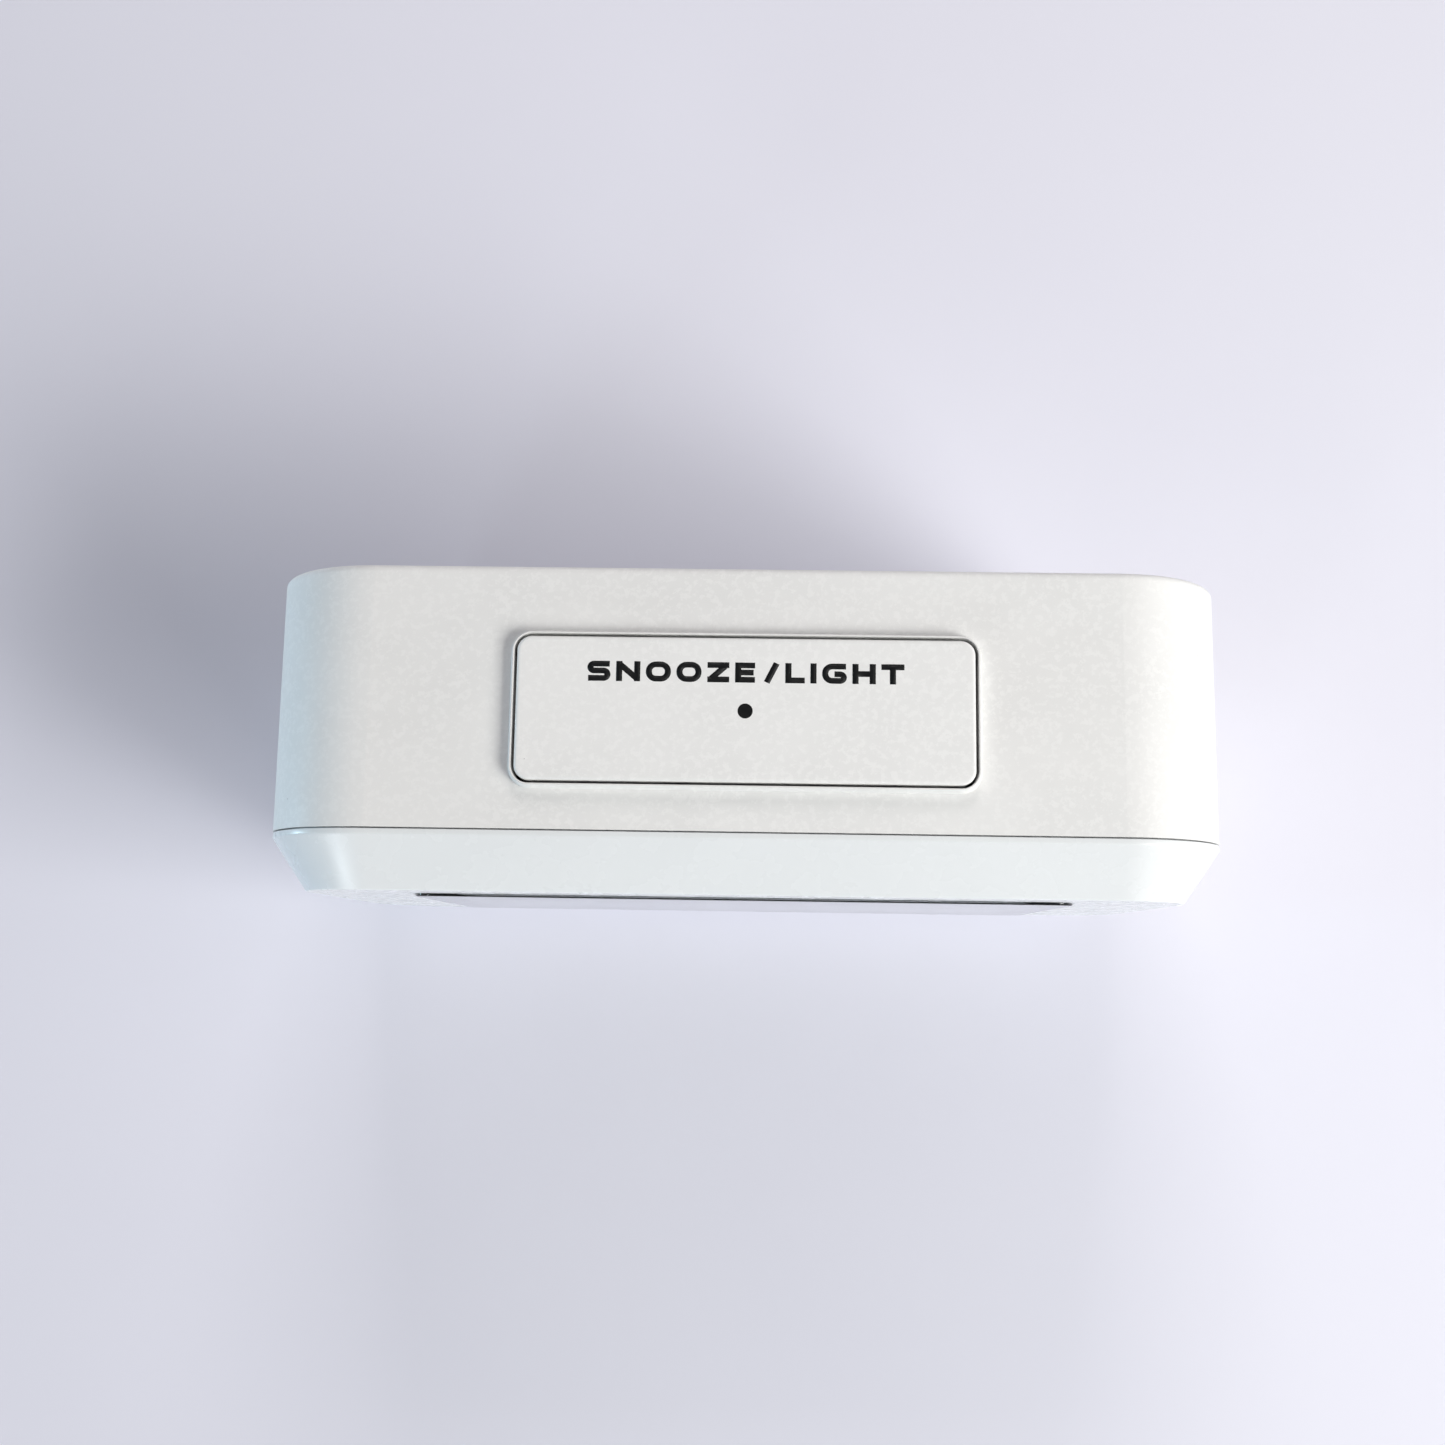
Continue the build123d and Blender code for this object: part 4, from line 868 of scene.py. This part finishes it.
def segment_outline(name, width, height, stroke, gap):
    """One bar of a seven-bar digit, with pointed ends, about the digit's middle."""
    half, rise = (width - stroke) / 2, (height - stroke) / 2
    places = {
        "a": (0, rise, True), "g": (0, 0, True), "d": (0, -rise, True),
        "f": (-half, rise / 2, False), "b": (half, rise / 2, False),
        "e": (-half, -rise / 2, False), "c": (half, -rise / 2, False),
    }
    x, z, lying = places[name]
    reach = (half if lying else rise / 2) - gap
    thick = stroke / 2
    outline = [
        (-reach, 0), (-reach + thick, thick), (reach - thick, thick),
        (reach, 0), (reach - thick, -thick), (-reach + thick, -thick),
    ]
    if not lying:
        outline = [(b, a) for a, b in outline]
    return [(x + a, z + b) for a, b in outline]


def digit_outlines(digit, x, z, scale, lit):
    wanted = SEGMENTS[digit] if lit else set("abcdefg") - set(SEGMENTS[digit])
    shapes = []
    sizes = [scale * part for part in (digit_width, digit_height, digit_stroke, digit_gap)]
    for name in sorted(wanted):
        line = segment_outline(name, *sizes)
        shapes.append([(x + a + digit_slant * b, z + b) for a, b in line])
    return shapes


def square_dot(x, z, half):
    return [(x - half, z - half), (x + half, z - half), (x + half, z + half), (x - half, z + half)]


def bell_outlines(x, z, r):
    """A small alarm bell: dome, rim and clapper."""
    dome = [(x - r, z - 0.7 * r)]
    dome += [(x - 0.75 * r * math.cos(a), z + 0.9 * r * math.sin(a)) for a in
             [math.pi * step / 10 for step in range(11)]]
    dome += [(x + r, z - 0.7 * r)]
    clapper = [(x + 0.25 * r * math.cos(a), z - r + 0.25 * r * math.sin(a)) for a in
               [2 * math.pi * step / 12 for step in range(12)]]
    return [dome, clapper]


def display_face(lcd_ink, ghost_ink):
    """Lit and unlit bars of the clock's digits, just in front of the polariser."""
    low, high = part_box("front_polariser")
    centre = middle(low, high)
    y = low[1] - 0.03 * MM
    lit, unlit = [], []
    pitch = digit_width + 2.9 * MM
    row = centre.z + 4.6 * MM
    colon = 5.4 * MM
    left = centre.x - 6.5 * MM
    columns = [left - colon / 2 - 1.5 * pitch, left - colon / 2 - 0.5 * pitch,
               left + colon / 2 + 0.5 * pitch, left + colon / 2 + 1.5 * pitch]
    for digit, x in zip("1008", columns):
        lit += digit_outlines(digit, x, row, 1.0, True)
        unlit += digit_outlines(digit, x, row, 1.0, False)
    for rise in (-4.0 * MM, 4.0 * MM):
        lit.append(square_dot(left + digit_slant * rise, row + rise, 1.1 * MM))
    small = 0.42
    right = centre.x + 33.5 * MM
    for digit, offset in zip("25", (-0.5, 0.5)):
        x = right + offset * pitch * small
        lit += digit_outlines(digit, x, row - digit_height * 0.29, small, True)
        unlit += digit_outlines(digit, x, row - digit_height * 0.29, small, False)
    lit += bell_outlines(right - 2.0 * MM, row + 7.0 * MM, 2.0 * MM)
    alarm = 0.30
    base = centre.z - 12.6 * MM
    start = centre.x - 31.0 * MM
    for digit, offset in zip("0630", (0, 1, 2.45, 3.45)):
        x = start + offset * pitch * alarm
        lit += digit_outlines(digit, x, base, alarm, True)
        unlit += digit_outlines(digit, x, base, alarm, False)
    for rise in (-1.3 * MM, 1.3 * MM):
        lit.append(square_dot(start + 1.72 * pitch * alarm, base + rise, 0.42 * MM))
    thickness = 0.01 * MM
    place = Matrix.Translation((0, y, 0))
    for name, outlines, paint in (("display_bars", lit, lcd_ink),
                                  ("display_unlit_bars", unlit, ghost_ink)):
        mesh = polygon_mesh(name, outlines, thickness, paint)
        piece(name, mesh, "case", 0, place)


# ---- Small hardware ----
def screw_plan(material):
    """Pan-head screws with a rolled thread, one at each point, heads to the back."""
    plan = Plan("case_screws", ["Core", "Length", "Head", "Head Height", "Pitch"])
    core, length, head, height, pitch = [
        plan.source[name] for name in ("Core", "Length", "Head", "Head Height", "Pitch")]
    shank = plan.raised(plan.rod(core, length, 20), plan.times(length, -0.5))
    threaded = plan.times(length, 0.85)
    spiral = plan.add("GeometryNodeCurveSpiral", None, Resolution=14)
    plan.feed(spiral.inputs["Rotations"], plan.math("DIVIDE", threaded, pitch))
    plan.feed(spiral.inputs["Start Radius"], core)
    plan.feed(spiral.inputs["End Radius"], core)
    plan.feed(spiral.inputs["Height"], threaded)
    thread = plan.swept(spiral.outputs[0], plan.circle(plan.times(pitch, 0.28), 4))
    thread = plan.raised(thread, plan.times(length, -0.98))
    lip = plan.times(head, 0.22)
    edge = plan.swept(plan.circle(plan.times(head, 0.78), 40), plan.circle(lip, 12))
    edge = plan.raised(edge, lip)
    pan = plan.raised(plan.rod(plan.times(head, 0.80), height, 40), plan.times(height, 0.5))
    cut = plan.add("GeometryNodeMeshCube")
    arms = plan.vector(plan.times(head, 1.1), plan.times(head, 0.26), height)
    plan.feed(cut.inputs["Size"], arms)
    lift = plan.vector(z=plan.times(height, 0.95))
    across = plan.moved(cut.outputs[0], Translation=lift)
    along = plan.moved(cut.outputs[0], Translation=lift, Rotation=(0, 0, math.pi / 2))
    recess = plan.add("GeometryNodeMeshBoolean", {"operation": "DIFFERENCE", "solver": "EXACT"})
    plan.links.new(pan, recess.inputs[0])
    plan.links.new(along, recess.inputs[1])
    plan.links.new(across, recess.inputs[1])
    screw = plan.joined(shank, thread, edge, recess.outputs[0])
    facing_back = plan.moved(screw, Rotation=(-math.pi / 2, 0, 0))
    return plan.finish(plan.on_points(plan.source["Geometry"], facing_back), material)


def case_screws(material):
    """The four screws in the wells of the back."""
    low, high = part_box("case_screws")
    head = 2.8 * MM
    head_height = 2.2 * MM
    seat = high[1] - head_height
    wells = (low[0] + head, high[0] - head), (low[2] + head, high[2] - head)
    corners = [(x, seat, z) for x in wells[0] for z in wells[1]]
    mesh = grown("case_screws_fine", screw_plan(material), points_mesh("seats", corners), **{
        "Core": 1.3 * MM, "Length": seat - low[1], "Head": head, "Head Height": head_height * 0.7,
        "Pitch": screw_thread_pitch,
    })
    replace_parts(piece("case_screws_fine", mesh, "case"), "case_screws")


def foot_plan(material):
    """Round rubber feet with a rolled lower edge, one at each point."""
    plan = Plan("rubber_feet", ["Radius", "Height", "Rim"])
    radius, height, rim = [plan.source[name] for name in ("Radius", "Height", "Rim")]
    inner = plan.math("SUBTRACT", radius, rim)
    disc = plan.raised(plan.rod(inner, height, 64), plan.times(height, 0.5))
    tall = plan.math("SUBTRACT", height, rim)
    upper = plan.raised(plan.rod(radius, tall, 64), plan.math("ADD", rim, plan.times(tall, 0.5)))
    edge = plan.raised(plan.swept(plan.circle(inner, 64), plan.circle(rim, 16)), rim)
    foot = plan.joined(disc, upper, edge)
    return plan.finish(plan.on_points(plan.source["Geometry"], foot), material)


def rubber_feet(material):
    """The four feet, glued in their seats under the casing."""
    low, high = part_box("rubber_feet")
    radius = 5.0 * MM
    seats = (low[0] + radius, high[0] - radius), (low[1] + radius, high[1] - radius)
    corners = [(x, y, 0) for x in seats[0] for y in seats[1]]
    mesh = grown("rubber_feet_fine", foot_plan(material), points_mesh("feet", corners), **{
        "Radius": radius, "Height": high[2], "Rim": 0.4 * MM,
    })
    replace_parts(piece("rubber_feet_fine", mesh, "case"), "rubber_feet")


def spring_plan(material):
    """Compression springs, one standing on each point."""
    plan = Plan("coil_springs", ["Radius", "Wire", "Height", "Turns"])
    source = plan.source
    coil = plan.add("GeometryNodeCurveSpiral", None, Resolution=32)
    plan.feed(coil.inputs["Rotations"], source["Turns"])
    plan.feed(coil.inputs["Start Radius"], source["Radius"])
    plan.feed(coil.inputs["End Radius"], source["Radius"])
    plan.feed(coil.inputs["Height"], source["Height"])
    tube = plan.swept(coil.outputs[0], plan.circle(source["Wire"], 10))
    return plan.finish(plan.on_points(source["Geometry"], tube), material)


def snooze_springs(material):
    low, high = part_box("snooze_springs")
    radius = (high[1] - low[1]) / 2 - spring_wire
    y = (low[1] + high[1]) / 2
    reach = radius + spring_wire
    feet = [(x, y, low[2] + spring_wire) for x in (low[0] + reach, high[0] - reach)]
    mesh = grown("snooze_springs_fine", spring_plan(material), points_mesh("seats", feet), **{
        "Radius": radius, "Wire": spring_wire, "Height": high[2] - low[2] - 2 * spring_wire,
        "Turns": float(spring_turns),
    })
    springs = piece("snooze_springs_fine", mesh, "case")
    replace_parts(springs, "snooze_springs")
    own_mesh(springs)


# ---- Finishes on the CAD nodes ----
def assign(material, *names):
    for name in names:
        mesh = frame["nodes"][name].data
        mesh.materials.clear()
        mesh.materials.append(material)


def dress_nodes():
    """Gives the frame's pieces their finishes, by name; the front bezel and the snooze bar get none
    here.
    """
    white = moulded_plastic("white_casing", (0.845, 0.845, 0.835), 0.50, soft_edge=0.14 * MM)
    assign(white, "rear_case", "battery_door")
    assign(clear_lens(), "display_lens")
    assign(dark_film(), "display_surround")
    assign(polariser_film("grey_polariser", (0.36, 0.41, 0.36)), "front_polariser",
           "rear_polariser")
    assign(thin_glass("lcd_glass", (0.86, 0.93, 0.89)), "lcd_front_glass", "lcd_rear_glass")
    assign(plain("milky_guide", (0.82, 0.86, 0.84), 0.25, Transmission_Weight=0.4), "light_guide")
    assign(plain("white_sheet", (0.86, 0.86, 0.85), 0.6), "reflector_sheet")
    assign(plain("lamp_resin", (0.85, 0.78, 0.42), 0.2), "backlight_lamps")
    assign(key_plastic("white_frame", (0.66, 0.66, 0.63)), "lcd_holder")
    assign(striped("contact_rubber", (0.55, 0.56, 0.60), (0.05, 0.05, 0.06), 0.4 * MM),
           "upper_zebra_strip", "lower_zebra_strip")
    assign(circuit_board(), "main_board", "key_board", "snooze_board")
    assign(metal("zinc_screw", (0.66, 0.66, 0.68), 0.28), "main_board_screws",
           "snooze_board_screws", "key_board_screws", "case_screws")
    assign(plain("black_epoxy", (0.012, 0.012, 0.013), 0.18, 1.5 * MM, 0.03 * MM), "controller_blob")
    assign(metal("crystal_can", (0.78, 0.78, 0.79), 0.24, (0.1, 1, 1)), "clock_crystal")
    assign(plain("capacitor_sleeve", (0.012, 0.018, 0.06), 0.28), "board_capacitors")
    assign(plain("chip_ceramic", (0.07, 0.055, 0.045), 0.4), "chip_components")
    assign(rubber("foot_rubber", (0.030, 0.030, 0.032)), "rubber_feet")
    assign(key_plastic("dark_plastic", (0.022, 0.022, 0.025)), "snooze_plunger", "snooze_switch",
           "key_switches", "alarm_switch_housing", "mode_plunger", "set_plunger", "up_plunger",
           "down_plunger")
    assign(key_plastic("grey_key", (0.34, 0.36, 0.38)), "mode_key", "set_key", "up_key", "down_key",
           "alarm_switch_knob")
    assign(rubber("foam", (0.06, 0.06, 0.065)), "buzzer_gasket")
    assign(metal("buzzer_brass", (0.80, 0.60, 0.28), 0.30), "buzzer_plate")
    assign(plain("silvered_ceramic", (0.70, 0.69, 0.64), 0.35), "buzzer_ceramic")
    for name, right in (("lower_cell", True), ("upper_cell", False)):
        low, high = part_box(name)
        assign(cell_sleeve(name + "_sleeve", right, low[0], high[0]), name)
    assign(metal("nickel_plate", (0.80, 0.79, 0.75), 0.20), "bridge_contact", "positive_contact",
           "negative_contact")
    assign(rubber("red_lead", (0.50, 0.02, 0.015)), "positive_lead")
    assign(rubber("black_lead", (0.02, 0.02, 0.02)), "negative_lead", "buzzer_leads")
    assign(striped("flat_ribbon", (0.62, 0.61, 0.57), (0.50, 0.48, 0.44), 1.0 * MM), "key_ribbon",
           "snooze_ribbon")
    assign(metal("spring_steel", (0.58, 0.59, 0.61), 0.26), "snooze_springs")


# ---- Setting ----
def floor():
    """Pale table top with a very faint unevenness."""
    maker = bmesh.new()
    bmesh.ops.create_grid(maker, x_segments=2, y_segments=2, size=1.6)
    mesh = bpy.data.meshes.new("table_top")
    maker.to_mesh(mesh)
    maker.free()
    finish = Finish("pale_table", (0.80, 0.795, 0.88), 0.75, Specular_IOR_Level=0.2)
    finish.blotches((0.765, 0.76, 0.85), 90 * MM, 3.0, 0.35, 0.7, 0.35)
    finish.relief(finish.noise(1.4 * MM, 4.0), 0.02 * MM, 0.25)
    mesh.materials.append(finish.material)
    top = bpy.data.objects.new("table_top", mesh)
    bpy.context.scene.collection.objects.link(top)


def soft_light(name, azimuth, elevation, distance, width, power, colour):
    """A square lamp that faces the clock. Azimuth 0 is the clock's right, 90 its back."""
    lamp = bpy.data.lights.new(name, "AREA")
    lamp.shape = "SQUARE"
    lamp.size = width
    lamp.energy = power
    lamp.color = colour
    around, up = math.radians(azimuth), math.radians(elevation)
    away = Vector((math.cos(up) * math.cos(around), math.cos(up) * math.sin(around), math.sin(up)))
    holder = bpy.data.objects.new(name, lamp)
    holder.location = away * distance + Vector((0, 0, 0.03))
    holder.rotation_euler = (-away).to_track_quat("-Z", "Y").to_euler()
    bpy.context.scene.collection.objects.link(holder)


def lights():
    """A soft key from the right and front, with weak cool fills low on the left."""
    soft_light("key_light", 338, 38, 0.80, 0.38, 4.5, (1.0, 1.0, 0.965))
    soft_light("window_light", 322, 31, 1.70, 0.75, 9.6, (1.0, 1.0, 0.97))
    soft_light("back_bounce", 90, 32, 0.95, 0.35, 2.9, (1.0, 0.96, 0.95))
    soft_light("front_bounce", 236, 12, 0.95, 0.20, 1.4, (0.88, 0.96, 1.0))
    soft_light("left_bounce", 184, 4, 0.95, 0.14, 3.4, (0.58, 0.85, 1.0))
    world = bpy.data.worlds.new("room")
    bpy.context.scene.world = world
    world.use_nodes = True
    background = world.node_tree.nodes["Background"]
    background.inputs["Color"].default_value = (0.93, 0.91, 1.0, 1.0)
    background.inputs["Strength"].default_value = 0.16


def camera():
    """Nearly straight above the clock, a little in front of it, leaning forward to it."""
    lens = bpy.data.cameras.new("overhead")
    lens.sensor_width = 36.0
    lens.lens = 39.21
    lens.clip_start = 0.01
    holder = bpy.data.objects.new("overhead", lens)
    bpy.context.scene.collection.objects.link(holder)
    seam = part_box("front_bezel")[0][1] + bezel_depth
    casing_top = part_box("rear_case")[1][2] - rim_height
    # measured from the middle of the seam's top, and the angles in radians
    aside, ahead, above = 0.58 * MM, 17.2 * MM, 210.66 * MM
    tilt, lean, roll = 0.151, 0.017, 0.013
    turn = Matrix.Translation((aside, seam - ahead, casing_top + above))
    for angle, axis in ((tilt, "X"), (lean, "Y"), (roll, "Z")):
        turn = turn @ Matrix.Rotation(angle, 4, axis)
    holder.matrix_world = turn
    bpy.context.scene.camera = holder


def main():
    camera()
    floor()
    lights()
    dress_nodes()
    black = ink("black_ink", (0.0035, 0.0038, 0.0045), 0.55)
    printed_bar_marks(black)
    grey = ink("grey_ink", (0.16, 0.17, 0.18))
    back_marks(stroke_plan(grey), grey)
    ghost = ink("lcd_ghost", (0.31, 0.355, 0.31), 0.40)
    display_face(ink("lcd_ink", (0.018, 0.022, 0.024), 0.35), ghost)
    front_bezel(moulded_plastic("white_bezel", (0.83, 0.855, 0.865), 0.27, texture=3.0 * MM,
                                depth=0.002 * MM, dust=0.2, mottling=0.04))
    snooze_bar(moulded_plastic("white_bar", (0.875, 0.875, 0.865), 0.50))
    case_screws(metal("zinc_plate", (0.68, 0.68, 0.70), 0.26))
    rubber_feet(rubber("foot_rubber_fine", (0.030, 0.030, 0.032)))
    snooze_springs(metal("spring_wire", (0.58, 0.59, 0.61), 0.26))
    bpy.context.scene.view_settings.view_transform = "Standard"


main()
